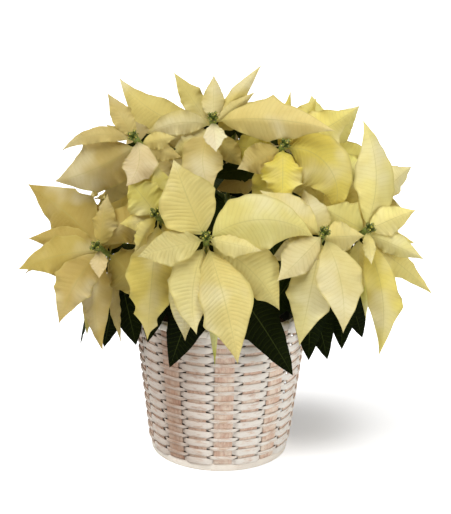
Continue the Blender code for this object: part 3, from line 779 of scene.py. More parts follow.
def bractMaterial():
    # Cream bract: faint side veins, greener base, flesh puffed between its veins, warm light showing through
    material, tree, output = newMaterial("creamBract")
    vein, own, place = attribute(tree, "vein")["Vector"], attribute(tree, "tint"), places(tree)
    crisp = own["Alpha"]
    lines = useGroup(tree, groups["veins"], {"Vein": vein, "Width": 0.2, "Rib": 0.035})
    net = useGroup(tree, groups["net"], {"Place": place, "Cells": 800.0, "Patches": 48.0})
    parts = split(tree, vein)
    tone = overlay(tree, own["Color"], net["Patch"], 0.6, (0.91, 0.86, 0.74), "MULTIPLY")
    cloud = fade(tree, noise(tree, place, 20.0, 2.0), 0.46, 0.72, 0.0, 0.5)
    tone = mixColours(tree, cloud, tone, (0.88, 0.83, 0.58))
    clarity = maths(tree, "MULTIPLY_ADD", crisp, 0.12, 0.10)
    tone = overlay(tree, tone, lines["Side veins"], clarity, (0.52, 0.43, 0.12))
    tone = overlay(tree, tone, net["Net"], 0.07, (0.60, 0.50, 0.16))
    tone = overlay(tree, tone, lines["Midrib"], 0.45, (0.50, 0.44, 0.14))
    inner = fade(tree, parts["Z"], 0.1, 0.7, 1.0, 0.0)
    tone = overlay(tree, tone, inner, 0.35, (0.97, 0.93, 0.58), "MULTIPLY")
    base = fade(tree, parts["Z"], 0.0, 0.2, 1.0, 0.0)
    tone = overlay(tree, tone, base, 0.6, (0.34, 0.33, 0.06))
    rim = fade(tree, parts["Y"], 0.87, 1.0)
    tone = overlay(tree, tone, rim, 0.6, (0.56, 0.47, 0.13))
    fine = maths(tree, "SUBTRACT", times(tree, net["Grain"], 0.25), times(tree, net["Net"], 0.2))
    normal = bump(tree, maths(tree, "ADD", times(tree, lines["Puff"], crisp), fine), 0.8, 0.0005)
    sheen = {"Normal": normal, "Sheen Weight": 0.06, "Sheen Roughness": 0.5}
    shader = finishMaterial(tree, output, tone, 0.55, 0.25, sheen)
    through = mixColours(tree, 0.9, tone, (1.0, 0.84, 0.40), "MULTIPLY")
    shineThrough(tree, output, shader, 0.24, {"Color": through, "Normal": normal})
    return material


def leafMaterial():
    # Very dark green leaf with paler veins and a dull grey-green underside
    material, tree, output = newMaterial("darkLeaf")
    vein, tint = attribute(tree, "vein")["Vector"], attribute(tree, "tint")["Color"]
    lines = useGroup(tree, groups["veins"], {"Vein": vein, "Width": 0.1, "Rib": 0.04})
    net = useGroup(tree, groups["net"], {"Place": places(tree), "Cells": 620.0, "Patches": 70.0})
    tone = overlay(tree, tint, net["Patch"], 0.5, (0.55, 0.62, 0.5), "MULTIPLY")
    tone = overlay(tree, tone, net["Net"], 0.12, (0.03, 0.045, 0.006))
    tone = overlay(tree, tone, lines["Side veins"], 0.4, (0.035, 0.045, 0.006))
    tone = overlay(tree, tone, lines["Midrib"], 0.6, (0.07, 0.09, 0.02))
    behind = addNode(tree, "ShaderNodeNewGeometry").outputs["Backfacing"]
    tone = overlay(tree, tone, behind, 0.6, (0.10, 0.13, 0.06))
    fine = maths(tree, "SUBTRACT", times(tree, net["Grain"], 0.3), times(tree, net["Net"], 0.4))
    normal = bump(tree, maths(tree, "ADD", lines["Puff"], fine), 0.8, 0.0005)
    shader = finishMaterial(tree, output, tone, 0.5, 0.02, {"Normal": normal})
    through = mixColours(tree, 1.0, tone, (1.4, 1.9, 0.4), "MULTIPLY")
    shineThrough(tree, output, shader, 0.15, {"Color": through})
    return material


def stalkMaterial():
    # Green young stem with fine long streaks and pale specks
    material, tree, output = newMaterial("greenStalk")
    place, tint = places(tree), attribute(tree, "tint")["Color"]
    streaks = noise(tree, place, 160.0, 4.0)
    tone = mixColours(tree, fade(tree, streaks, 0.35, 0.7), tint, (0.60, 0.60, 0.30), "MULTIPLY")
    specks = cells(tree, place, 480.0)
    tone = mixColours(tree, fade(tree, specks, 0.08, 0.22, 0.45, 0.0), tone, (0.50, 0.50, 0.24))
    normal = bump(tree, maths(tree, "ADD", streaks, specks), 0.3, 0.0006)
    finishMaterial(tree, output, tone, 0.5, 0.4, {"Normal": normal})
    return material


def budMaterial():
    material, tree, output = newMaterial("greenBud")
    cloud = noise(tree, places(tree), 420.0, 3.0)
    tint = attribute(tree, "tint")["Color"]
    tone = mixColours(tree, fade(tree, cloud, 0.3, 0.7, 0.0, 0.6), tint, (0.55, 0.62, 0.35), "MULTIPLY")
    finishMaterial(tree, output, tone, 0.38, 0.5, {"Normal": bump(tree, cloud, 0.3, 0.0004)})
    return material


def barkMaterial():
    material, tree, output = newMaterial("greyBark")
    place = places(tree)
    rough = noise(tree, place, 220.0, 6.0, 0.7)
    crack = fade(tree, cells(tree, place, 260.0, "DISTANCE_TO_EDGE"), 0.0, 0.12, 1.0, 0.0)
    tone = mixColours(tree, rough, (0.16, 0.14, 0.07), (0.34, 0.31, 0.20))
    tone = overlay(tree, tone, crack, 0.5, (0.06, 0.05, 0.025))
    normal = bump(tree, maths(tree, "SUBTRACT", rough, crack), 0.6, 0.001)
    finishMaterial(tree, output, tone, 0.8, 0.25, {"Normal": normal})
    return material


def wickerMaterial(name, wood, dark, wash, washAmount, shine):
    # Split wood under a thin whitewash, which is rubbed off along the grain
    material, tree, output = newMaterial(name)
    strip = attribute(tree, "strip")["Vector"]
    washed = maths(tree, "SUBTRACT", washAmount, times(tree, attribute(tree, "wear")["Fac"], 0.16))
    grain = useGroup(tree, groups["grain"], {"Strip": strip, "Wash": washed})
    tone = mixColours(tree, fade(tree, grain["Streaks"], 0.36, 0.66), wood, dark)
    tone = overlay(tree, tone, grain["Own"], 0.45, (0.62, 0.42, 0.34))
    tone = overlay(tree, tone, grain["Washed"], 0.92, wash)
    tone = overlay(tree, tone, fade(tree, grain["Streaks"], 0.52, 0.75), 0.22, dark)
    tone = overlay(tree, tone, grain["Knots"], 0.5, (0.30, 0.17, 0.11))
    edge = maths(tree, "ABSOLUTE", split(tree, strip)["Y"])
    tone = overlay(tree, tone, fade(tree, edge, 0.72, 1.0), 0.4, dark)
    # Browner with age all over, and darker on the basket's left and in one patch beside the front: painted
    # shade carried by the age attribute
    tone = overlay(tree, tone, attribute(tree, "age")["Fac"], 0.9, (0.56, 0.47, 0.42), "MULTIPLY")
    height = maths(tree, "ADD", grain["Streaks"], times(tree, grain["Washed"], 0.3))
    roughness = fade(tree, grain["Washed"], 0.0, 1.0, 0.5, 0.78)
    finishMaterial(tree, output, tone, roughness, shine, {"Normal": bump(tree, height, 0.5, 0.0006)})
    return material


def potMaterial():
    material, tree, output = newMaterial("potPlastic")
    place = places(tree)
    dust = noise(tree, place, 38.0, 4.0)
    tone = mixColours(tree, fade(tree, dust, 0.5, 0.75, 0.0, 0.5), (0.016, 0.022, 0.016), (0.10, 0.08, 0.055))
    normal = bump(tree, noise(tree, place, 900.0, 2.0), 0.12, 0.0004)
    finishMaterial(tree, output, tone, fade(tree, dust, 0.4, 0.8, 0.38, 0.75), 0.5, {"Normal": normal})
    return material


def soilMaterial():
    material, tree, output = newMaterial("darkSoil")
    place = places(tree)
    crumbs = noise(tree, place, 420.0, 6.0, 0.75)
    tone = mixColours(tree, crumbs, (0.010, 0.006, 0.004), (0.075, 0.046, 0.028))
    tone = mixColours(tree, attribute(tree, "pale")["Fac"], tone, (0.42, 0.39, 0.34))
    normal = bump(tree, maths(tree, "ADD", crumbs, cells(tree, place, 260.0)), 0.9, 0.0016)
    finishMaterial(tree, output, tone, 0.95, 0.15, {"Normal": normal})
    return material


def boardMaterial():
    material, tree, output = newMaterial("baseBoard")
    values = {"Vector": places(tree), "Scale": (14.0, 260.0, 60.0)}
    streaks = noise(tree, addNode(tree, "ShaderNodeMapping", values).outputs[0], 1.0, 5.0)
    tone = mixColours(tree, fade(tree, streaks, 0.3, 0.7), (0.60, 0.44, 0.29), (0.40, 0.27, 0.16))
    finishMaterial(tree, output, tone, 0.75, 0.5, {"Normal": bump(tree, streaks, 0.4, 0.0008)})
    return material


# Split wood: its name, own colour, the dark of its grain, its whitewash, how washed it is and its shine
wickerLooks = {
    "weaver": ("washedWeaver", (0.84, 0.64, 0.48), (0.52, 0.35, 0.24), (0.90, 0.87, 0.80), 0.72, 0.3),
    "stake": ("peachStake", (0.84, 0.60, 0.44), (0.58, 0.36, 0.26), (0.88, 0.76, 0.63), 0.48, 0.3),
    "hoop": ("peeledHoop", (0.88, 0.74, 0.60), (0.70, 0.53, 0.40), (0.92, 0.86, 0.76), 0.64, 0.35),
}
finish = {
    "bract": bractMaterial(),
    "leaf": leafMaterial(),
    "stalk": stalkMaterial(),
    "bud": budMaterial(),
    "bark": barkMaterial(),
    "pot": potMaterial(),
    "soil": soilMaterial(),
    "board": boardMaterial(),
}
finish |= {key: wickerMaterial(*look) for key, look in wickerLooks.items()}
print("materials made:", len(finish))


# Meshes

attributeKinds = {1: ("FLOAT", "value"), 3: ("FLOAT_VECTOR", "vector"), 4: ("FLOAT_COLOR", "color")}


def makeMesh(name, shape, finishes, labels=(), smooth=True, picks=None):
    # A shape is its points in mm, its faces, and for each label a list with one value a point
    points, faces, *lists = shape
    mesh = bpy.data.meshes.new(name)
    mesh.from_pydata((np.asarray(points, float) * mm).tolist(), [], faces)
    for label, values in zip(labels, lists):
        kind, field = attributeKinds[np.size(values) // len(values)]
        layer = mesh.attributes.new(label, kind, "POINT")
        layer.data.foreach_set(field, np.asarray(values, np.float32).ravel())
    for key in finishes:
        mesh.materials.append(finish[key])
    if picks is not None:
        mesh.polygons.foreach_set("material_index", picks)
    mesh.polygons.foreach_set("use_smooth", [smooth] * len(mesh.polygons))
    mesh.validate()
    mesh.update()
    made = bpy.data.objects.new(name, mesh)
    bpy.context.scene.collection.objects.link(made)
    return made


def fit(piece, slot, *nodes):
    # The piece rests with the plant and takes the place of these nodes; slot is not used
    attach(piece, "root")
    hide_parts(*nodes)


def gather(shapes):
    # Joins shapes into one
    points, faces, lists = [], [], []
    for shape in shapes:
        start = len(points)
        points += list(shape[0])
        faces += [tuple(start + i for i in face) for face in shape[1]]
        lists.append(shape[2:])
    return points, faces, *[np.concatenate(parts) for parts in zip(*lists)]


def stacked(*parts):
    return np.stack(np.broadcast_arrays(*parts), -1)


def blend(first, second, share):
    return [a + (b - a) * share for a, b in zip(first, second)] + [1]


# Bracts and leaves

bractLook = {
    "rows": 96,
    "halfColumns": 9,
    "veinSpacing": 4.8,
    "veinSlant": 0.45,
    "puff": 0.34,
    "ruffle": 2.3,
    "ruffleWaves": 3.0,
    "wander": 2.4,
    "cup": 0.16,
    "fold": -18,
    "paintedHalfShade": 0.06,
    "shift": 1.0,
    "ribRadius": 1.05,
    "stalk": 0.075,
}
leafLook = {
    "rows": 90,
    "halfColumns": 9,
    "veinSpacing": 5.6,
    "veinSlant": 0.5,
    "puff": 0.25,
    "ruffle": 1.3,
    "ruffleWaves": 2.4,
    "wander": 1.8,
    "cup": 0.12,
    "fold": -14,
    "paintedHalfShade": 0.1,
    "shift": 2.5,
    "ribRadius": 1.2,
    "outline": (
        (0, 0.03), (0.02, 0.12), (0.08, 0.38), (0.18, 0.68), (0.30, 0.82),
        (0.36, 0.90), (0.40, 1.0), (0.425, 0.93), (0.46, 0.80), (0.54, 0.70),
        (0.64, 0.60), (0.76, 0.44), (0.88, 0.24), (0.96, 0.08), (1, 0),
    ),
}

# Blades at the back, and the small ones under the bracts, have fewer faces
backBlades = {"rows": 72, "halfColumns": 7}
collarBlades = {"rows": 26, "halfColumns": 4}

# Extra points on an edge: along the blade, side (-1 left, 1 right, seen from its root), mm out, how long
teeth = {
    ("top_left", 4): [(0.52, 1, 5, 0.10), (0.72, 1, 2, 0.06)],
    ("top_left", 0): [(0.45, -1, 3, 0.2)],
    ("top", 1): [(0.47, -1, 7, 0.09)],
    ("top", 9): [(0.62, -1, 3, 0.2)],
    ("top", 0): [(0.5, -1, 3, 0.12)],
    ("middle_left", 3): [
        (0.50, 1, 3, 0.08), (0.66, 1, 4, 0.07), (0.80, 1, 5, 0.07), (0.70, -1, 4, 0.1), (0.88, -1, 5, 0.06),
    ],
    ("right", 6): [(0.56, 1, 5, 0.1)],
    ("right", 3): [(0.40, 1, 4, 0.16)],
    ("right", 5): [(0.62, -1, 5, 0.12)],
    ("right", 7): [(0.4, -1, 4, 0.06), (0.55, 1, 4, 0.07)],
    ("far_right", 4): [(0.5, -1, 4, 0.1)],
    ("back_right", 1): [(0.42, -1, 6, 0.1)],
    ("back_right", 4): [(0.45, 1, 4, 0.1)],
    ("upper_right", 0): [
        (0.28, 1, 3, 0.05), (0.42, 1, 4, 0.06), (0.57, 1, 3, 0.05), (0.72, 1, 3, 0.05), (0.4, -1, 2, 0.06),
        (0.65, -1, 3, 0.07),
    ],
    ("upper_right", 2): [(0.35, -1, 4, 0.15), (0.7, 1, 3, 0.08)],
    ("upper_right", 3): [(0.86, 1, 5, 0.07), (0.62, 1, 4, 0.09), (0.40, -1, 4, 0.08), (0.55, -1, 3, 0.06)],
    ("upper_right", 4): [(0.60, -1, 4, 0.08), (0.62, 1, 3, 0.08)],
    ("centre_front", 2): [(0.30, -1, 8, 0.2), (0.62, 1, 3, 0.16)],
    ("centre_front", 4): [(0.6, -1, 4, 0.14), (0.8, 1, 3, 0.08)],
    ("centre_front", 5): [(0.48, -1, 4, 0.2)],
    ("right_front", 0): [(0.45, -1, 3, 0.1)],
    ("left", 7): [(0.55, -1, 5, 0.09), (0.45, 1, 5, 0.14)],
    ("left", 5): [(0.5, 1, 4, 0.08), (0.5, -1, 4, 0.10)],
    ("left", 3): [(0.5, 1, 4, 0.12)],
}

# Cream of each bloom's bracts, as linear colour; the blooms at the left are darker, partly their own tan and
# partly painted shade
bloomTintsAndShade = {
    "centre_front": (0.75, 0.665, 0.27),
    "right_front": (0.79, 0.705, 0.30),
    "right": (0.83, 0.75, 0.28),
    "left": (0.58, 0.445, 0.12),
    "top": (0.72, 0.61, 0.215),
    "top_left": (0.66, 0.54, 0.19),
    "upper_right": (0.77, 0.67, 0.125),
    "middle_left": (0.79, 0.655, 0.14),
    "back_right": (0.78, 0.73, 0.22),
    "far_right": (0.80, 0.72, 0.36),
}
plainTint = (0.72, 0.62, 0.28)
# Bracts that are paler, yellower or greener than the rest of their bloom, and darker ones that carry painted
# shade
bractTintsAndShade = {
    ("left", 0): (0.80, 0.68, 0.40),
    ("left", 9): (0.72, 0.60, 0.28),
    ("left", 12): (0.50, 0.42, 0.08),
    ("top_left", 0): (0.82, 0.70, 0.42),
    ("top_left", 2): (0.63, 0.51, 0.18),
    ("top_left", 4): (0.57, 0.45, 0.16),
    ("top", 0): (0.90, 0.85, 0.56),
    ("top", 7): (0.62, 0.51, 0.20),
    ("right_front", 0): (0.84, 0.74, 0.40),
    ("centre_front", 8): (0.56, 0.62, 0.12),
    ("middle_left", 1): (0.76, 0.69, 0.15),
    ("middle_left", 2): (0.62, 0.56, 0.11),
    ("upper_right", 1): (0.62, 0.49, 0.15),
    ("upper_right", 3): (0.80, 0.71, 0.20),
    ("right", 5): (0.86, 0.72, 0.22),
    ("right", 9): (0.66, 0.66, 0.12),
}

# Leaves close under the bracts that have turned cream like them
creamLeaves = {
    ("top_left", 0): (0.50, 0.40, 0.15),
    ("left", 2): (0.46, 0.36, 0.11),
    ("upper_right", 0): (0.46, 0.36, 0.11),
    ("top", 1): (0.52, 0.42, 0.15),
}
# How much wavier than usual the bracts' edges are
waviness = {"upper_right": 2.0, "middle_left": 1.3, "top_left": 1.3}

# Waves that break the evenness of every edge and of its side veins, as (size, speed) along the blade
edgeSway = ((0.035, 9), (0.02, 23))
veinSway = ((0.35, 8), (0.16, 21))

# How clearly the side veins of a bloom's bracts stand out
veinClarity = {
    "centre_front": 1.0,
    "right_front": 0.4,
    "right": 0.3,
    "left": 0.4,
    "top": 0.35,
    "top_left": 0.38,
    "upper_right": 0.45,
    "middle_left": 0.3,
}


def edgeShare(one, look, along):
    # Half width at each station of the finished blade
    if isinstance(one, Bract):
        inner = np.clip((along - look["stalk"]) / (1 - look["stalk"]), 0, 1)
        swell = np.sin(np.pi * inner ** 0.82) ** 0.92 * (1 - 0.62 * inner ** 5)
        return np.maximum(one.width / 2 * swell, np.minimum(1.0, 12 * (1 - along)))
    at, share = zip(*look["outline"])
    return one.width / 2 * np.interp(along, at, share)


def bendOf(look, name, index):
    # How far the whole blade strays from its even curve, at a share of the way along it
    draw = random.Random(name + " bend " + str(index))
    size, start = 3 * look["wander"] * draw.uniform(-1, 1), draw.random()
    return lambda along: size * np.sin(2 * np.pi * (1.2 * along + start)) * along * (1 - along)


def bladeSheet(one, root, axes, look, name, index, tint, crisp=1.0):
    # A blade with its vein pattern and colours; crisp is how clearly the side veins stand out
    draw = random.Random(name + str(index))
    crisp = crisp * draw.uniform(0.6, 1.2)
    rows, columns = look["rows"], 2 * look["halfColumns"] + 1
    stalk = getattr(one, "petiole", 0) / wholeLength(one)
    along = np.linspace(0, 1, rows)[:, None]
    frames = midribFrames(one, root, axes, (stalk + along[:, 0] * (1 - stalk)).tolist(), 2)
    mids, sides, normals = (np.array(part)[:, None] for part in zip(*frames))
    across = np.linspace(-1, 1, columns)[None, :]
    across = np.sign(across) * np.abs(across) ** 0.9
    reach = np.abs(across)

    def eachSide(left, right):
        return np.where(across < 0, left, right)

    # The outline: an even swell, a slow sway, the listed teeth and a few small ones of its own
    small = []
    for _ in range(4):
        at, hand = draw.uniform(0.28, 0.72), draw.choice((-1, 1))
        small.append((at, hand, draw.uniform(0.8, 3.2) * one.width / 44, draw.uniform(0.05, 0.14)))
    starts = [draw.uniform(0, 6.3) for _ in range(4)]
    sway = 0
    for (size, speed), pair in zip(edgeSway, (starts[:2], starts[2:])):
        sway = sway + size * np.sin(speed * along + eachSide(*pair))
    width = edgeShare(one, look, along) * (1 + sway * np.sin(np.pi * along))
    for at, hand, size, spread in teeth.get((name, index), []) + small * isinstance(one, Bract):
        peak = np.clip(1 - np.abs(along - at) / spread, 0, 1) ** 1.4
        width = width + size * peak * (across * hand > 0)
    flat = reach * width

    # Side veins, counted along the blade, and the flesh that swells between them
    phase = (along * one.length - flat * look["veinSlant"]) / look["veinSpacing"]
    phase = phase + eachSide(0.5, 0.0) + draw.random() + 0.2 * np.sin(4 * reach + starts[1])
    for (size, speed), start in zip(veinSway, starts[::2]):
        phase = phase + size * np.sin(speed * along + start)
    ripple = 0.5 - 0.5 * np.cos(2 * np.pi * phase)
    ripple = ripple * (0.85 + 0.3 * np.sin(6 * along + starts[3] + 2 * across))
    body = np.sin(np.pi * np.clip(along, 0.02, 0.98)) ** 0.5
    puff = look["puff"] * crisp * ripple * np.clip(reach / 0.15, 0, 1) * (1 - 0.55 * reach ** 3)
    puff = puff * body * np.clip(width / 12, 0, 1)

    # Waves that grow towards the edge, a fine frill on it, the fold along the midrib and the cup across it
    waves = look["ruffleWaves"] + draw.uniform(-0.5, 0.7)
    first, second = draw.uniform(0, 6.3), draw.uniform(0, 6.3)
    turn = 2 * np.pi * waves * along + eachSide(first, second)
    ruffle = look["ruffle"] * waviness.get(name, 1) * draw.uniform(0.6, 1.3) * reach ** 2.4 * body
    ruffle = ruffle * (np.sin(turn) + 0.35 * np.sin(2.3 * turn + 1)) * np.clip(width / 14, 0, 1)
    frill = 0.35 * look["ruffle"] * reach ** 5 * body * np.sin(2 * np.pi * 9 * along + first + eachSide(0, 2))
    cup = look["cup"] * draw.uniform(-1.2, 0.5) * width * reach ** 2
    fold = math.radians(look["fold"])
    crease = (np.sqrt(flat ** 2 + 0.5) - math.sqrt(0.5)) * math.sin(fold)
    rise = crease + puff + ruffle + frill + cup + bendOf(look, name, index)(along)
    spots = mids + sides * (across * width * math.cos(fold))[..., None] + normals * rise[..., None]

    # Its own shade of the tint, and painted light: a little lighter on the blade's left half and darker on
    # its right, as if lit from one side
    light = draw.uniform(-0.10, 0.08)
    shift = np.array([light, light + draw.uniform(-0.03, 0.03), light + draw.uniform(-0.14, 0.14)])
    halfShading = 1 - look["paintedHalfShade"] * np.tanh(4 * across) * np.ones_like(along)
    colours = np.full((rows, columns, 4), crisp)
    colours[..., :3] = np.clip(np.array(tint) * (1 + shift * look["shift"]) * halfShading[..., None], 0.002, 0.92)
    veins = stacked(phase, reach, along)
    return spots.reshape(-1, 3), gridFaces(rows, columns), veins.reshape(-1, 3), colours.reshape(-1, 4)


def stalkTube(one, root, axes, look, rib, name, index):
    # Petiole and midrib in one tapering stalk under the blade, from the root nearly to the tip
    count, sides, sink = 24, 8, 1.3
    stations = [0.97 * i / (count - 1) for i in range(count)]
    stalk = getattr(one, "petiole", 0) / wholeLength(one)
    bend = bendOf(look, name, index)
    points, colours = [], []
    for at, (mid, side, normal) in zip(stations, midribFrames(one, root, axes, stations, 2)):
        past = max(0, (at - stalk) / (1 - stalk))
        swell = 1.15 - 0.15 * min(1, at / max(stalk, 0.05))
        taper = (1 - past) ** 0.9 * (0.72 if past > 0.04 else 1)
        radius = look["ribRadius"] * swell * taper + 0.14
        centre = mid + normal * (float(bend(past)) - radius * sink)
        points += [centre + radius * (x * side + y * normal) for x, y in circle(sides)]
        colours += [blend(stalkLook["petiole"], stalkLook[rib], min(1, past * 12))] * sides
    caps = [face[::-1] for face in endCaps(count, sides)]
    return points, gridFaces(count, sides, closed=True) + caps, np.array(colours)


stalkLook = {
    "green": (0.20, 0.26, 0.05),
    "woody": (0.22, 0.20, 0.09),
    "petiole": (0.15, 0.13, 0.035),
    "cream": (0.66, 0.58, 0.24),
    "leafRib": (0.13, 0.17, 0.05),
    "scarSpacing": 17,
}


def stemWithHub(bloom):
    # One smooth stem from the trunk's stub to under the buds, ringed by old leaf scars
    _, way, foot, axis = stemEnds(bloom)
    path = stemPath(bloom, 46)
    hubSteps, sides = 13, 12
    radii, colours = [], []
    travelled = 0.0
    for i, point in enumerate(path):
        travelled += (point - path[max(i - 1, 0)]).length
        ring = math.exp(-((travelled % stalkLook["scarSpacing"]) / 1.1) ** 2)
        radii.append(plant["stemRadius"] * (0.96 + 0.16 * ring))
        colours.append(blend(stalkLook["woody"], stalkLook["green"], min(1, i / 30)))
    for i in range(hubSteps + 1):
        path.append(foot + axis * plant["hubLength"] * i / hubSteps)
        swell = plant["hubRadius"] + plant["hubFlare"] - plant["stemRadius"]
        radii.append(plant["stemRadius"] + swell * i / hubSteps)
        colours.append([*stalkLook["green"], 1])
    return *tube(path, radii, sides, (way, axis)), np.repeat(np.array(colours, float), sides, axis=0)


# Buds at the middle of a bloom

budLook = {
    "cup": (0.09, 0.12, 0.015),
    "lip": (0.30, 0.32, 0.05),
    "gland": (0.55, 0.47, 0.06),
    "stamen": (0.14, 0.08, 0.02),
    # Profiles as (way along, radius)
    "cushion": ((0, 2.9), (1.0, 3.4), (2.2, 3.3), (2.8, 2.2)),
    "urn": (
        (0, 0.7), (0.8, 1.4), (2.2, 2.1), (3.8, 2.25), (5.2, 1.9),
        (6.2, 1.5), (6.6, 1.55), (6.3, 1.1), (5.6, 0.5),
    ),
    "bead": ((-0.5, 0.5), (0.1, 0.95), (0.6, 0.9), (0.75, 0.4)),
    # Four cups round the middle one and four small ones outside them: part of a turn, up, out, lean, sizes
    "seats": ((0, 1.2, 1.5, 0.95, (0.86, 1.0)), (0.5, 0.8, 2.2, 1.7, (0.5, 0.66))),
}


def turnedBud(base, axis, profile, colours, sides=16, ribs=0.05):
    axis = axis.normalized()
    across = axis.orthogonal().normalized()
    other = axis.cross(across)
    points, tints = [], []
    for (along, radius), colour in zip(profile, colours):
        for k in range(sides):
            turn = 2 * math.pi * k / sides
            reach = radius * (1 + ribs * math.cos(5 * turn))
            points.append(base + axis * along + reach * (math.cos(turn) * across + math.sin(turn) * other))
            tints.append([*colour, 1])
    return points, gridFaces(len(profile), sides, closed=True) + endCaps(len(profile), sides), np.array(tints)


def budCluster(bloom):
    # Each cup is a ribbed green urn with a lip, one yellow gland and a few stamens
    draw = random.Random("buds" + bloom.name)
    _, _, _, axis = stemEnds(bloom)
    base = Vector(bloom.centre) + axis * plant["gap"]
    across = axis.orthogonal().normalized()
    other = axis.cross(across)
    cup, lip, gland, stamen = budLook["cup"], budLook["lip"], budLook["gland"], budLook["stamen"]
    shapes = [turnedBud(base, axis, budLook["cushion"], [cup] * 4)]
    seats = [(base + axis * 1.6, axis, 1.06)]
    for part, up, out, tilt, sizes in budLook["seats"]:
        for k in range(4):
            turn = 2 * math.pi * (k + part) / 4
            lean = math.cos(turn) * across + math.sin(turn) * other
            seats.append((base + axis * up + lean * out, axis + lean * tilt, draw.uniform(*sizes)))

    def sized(profile, size):
        return [(along * size, radius * size) for along, radius in profile]

    for seat, way, size in seats:
        way = way.normalized()
        shapes.append(turnedBud(seat, way, sized(budLook["urn"], size), [cup] * 5 + [lip] * 3 + [stamen]))
        aside = (Quaternion(way, draw.uniform(0, 6.28)) @ way.orthogonal().normalized()).normalized()
        spot = seat + (way * 5.9 + aside * 1.55) * size
        shapes.append(turnedBud(spot, way + aside * 0.6, sized(budLook["bead"], size), [gland] * 4, 10, 0))
        for _ in range(4):
            tilt = (way + Vector([draw.uniform(-0.35, 0.35) for _ in range(3)])).normalized()
            reach = draw.uniform(7.0, 7.9) * size
            thread = [(5.2 * size, 0.16), (reach - 0.5, 0.14), (reach - 0.3, 0.34), (reach, 0.26)]
            shapes.append(turnedBud(seat, tilt, thread, [lip, lip, stamen, stamen], 6, 0))
    return gather(shapes)


# Larger leaves deep inside, as (clock, length), where the background would show between the blooms
innerLeaves = {"upper_right": [(317, 68), (261, 74), (137, 56)]}
# Leaves are numbered from 0, the small collar leaves and the inner leaves from these
collarStart, innerStart = 20, 30
# Three greens in turn, and the lighter one of the collar and inner leaves
leafGreens = [(0.006, 0.009, 0.001), (0.005, 0.007, 0.001), (0.009, 0.014, 0.0015), (0.03, 0.038, 0.008)]


def collarLeaves(bloom):
    # Small dark leaves close under the bracts, which close the view through the middle
    _, _, foot, axis = stemEnds(bloom)
    draw = random.Random("collar" + bloom.name)
    small = []
    for i in range(5):
        one = Leaf(1, 72 * i + draw.uniform(-12, 12), 3, draw.uniform(26, 32), 22, -8, 12, 0, 0)
        small.append((one, foot + axis * (3 + 0.9 * i), collarStart + i))
    for i, (clock, length) in enumerate(innerLeaves.get(bloom.name, ())):
        one = Leaf(1, clock, 6, length, 30, -16, 10, 0, 0)
        small.append((one, foot - axis * 4 * i, innerStart + i))
    return small


def buildBloom(bloom):
    name = bloom.name
    axes = faceAxes(bloom.heading, bloom.pitch)
    tint = bloomTintsAndShade.get(name, plainTint)
    crisp = veinClarity.get(name, 0.3)
    fewer = {} if bloom in shownBlooms else backBlades
    sheets, stalks = [], [stemWithHub(bloom)]
    for one, root, index in placedBracts[name]:
        own = bractTintsAndShade.get((name, index), tint)
        sheets.append(bladeSheet(one, root, axes, bractLook | fewer, name, index, own, crisp))
        stalks.append(stalkTube(one, root, axes, bractLook, "cream", name, index))
    bracts = makeMesh("bracts_" + name, gather(sheets), ["bract"], ["vein", "tint"])
    fit(bracts, "bract", "bloom_" + name)
    sheets, picks = [], []
    for one, root, index in placedLeaves[name] + collarLeaves(bloom):
        cream = creamLeaves.get((name, index))
        own = cream or leafGreens[index % 3 if index < collarStart else 3]
        look = leafLook | (collarBlades if collarStart <= index < innerStart else fewer)
        sheets.append(bladeSheet(one, root, axes, look, name + "_leaf", index, own, 0.3 if cream else 1))
        picks += [1 if cream else 0] * len(sheets[-1][1])
    leaves = makeMesh("leaves_" + name, gather(sheets), ["leaf", "bract"], ["vein", "tint"], picks=picks)
    fit(leaves, "leaf", "stem_" + name)
    for one, root, index in placedLeaves[name]:
        stalks.append(stalkTube(one, root, axes, leafLook, "leafRib", name + "_leaf", index))
    stalk = makeMesh("stalks_" + name, gather(stalks), ["stalk"], ["tint"])
    fit(stalk, "leaf", "stem_" + name, "bloom_" + name)
    fit(makeMesh("buds_" + name, budCluster(bloom), ["bud"], ["tint"]), "cyathia", "cyathia_" + name)


print("building blooms")
for bloom in allBlooms:
    buildBloom(bloom)


# Trunks

bark = {"faceSize": 0.85, "smoothing": 4, "knotSize": 4, "knotHeight": 0.7}


def roughTrunk(name):
    # The solid's own form, remeshed fine and roughened like bark
    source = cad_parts["trunk_" + name]
    made = bpy.data.objects.new("bark_" + name, source.data.copy())
    bpy.context.scene.collection.objects.link(made)
    made.data.materials.clear()
    made.data.materials.append(finish["bark"])
    remesh = made.modifiers.new("fine", "REMESH")
    remesh.mode = "VOXEL"
    remesh.voxel_size = bark["faceSize"] * mm
    remesh.use_smooth_shade = True
    made.modifiers.new("soft", "SMOOTH").iterations = bark["smoothing"]
    texture = bpy.data.textures.new("bark_" + name, "CLOUDS")
    texture.noise_scale = bark["knotSize"] * mm
    knots = made.modifiers.new("knots", "DISPLACE")
    knots.texture = texture
    knots.texture_coords = "LOCAL"
    knots.strength = bark["knotHeight"] * mm
    bpy.context.view_layer.update()
    evaluated = made.evaluated_get(bpy.context.evaluated_depsgraph_get())
    mesh = bpy.data.meshes.new_from_object(evaluated)
    made.modifiers.clear()
    made.data = mesh
    return made


for name in plant["trunks"]:
    fit(roughTrunk(name), "trunk", "trunk_" + name)
print("stems and trunks built")


# Basket

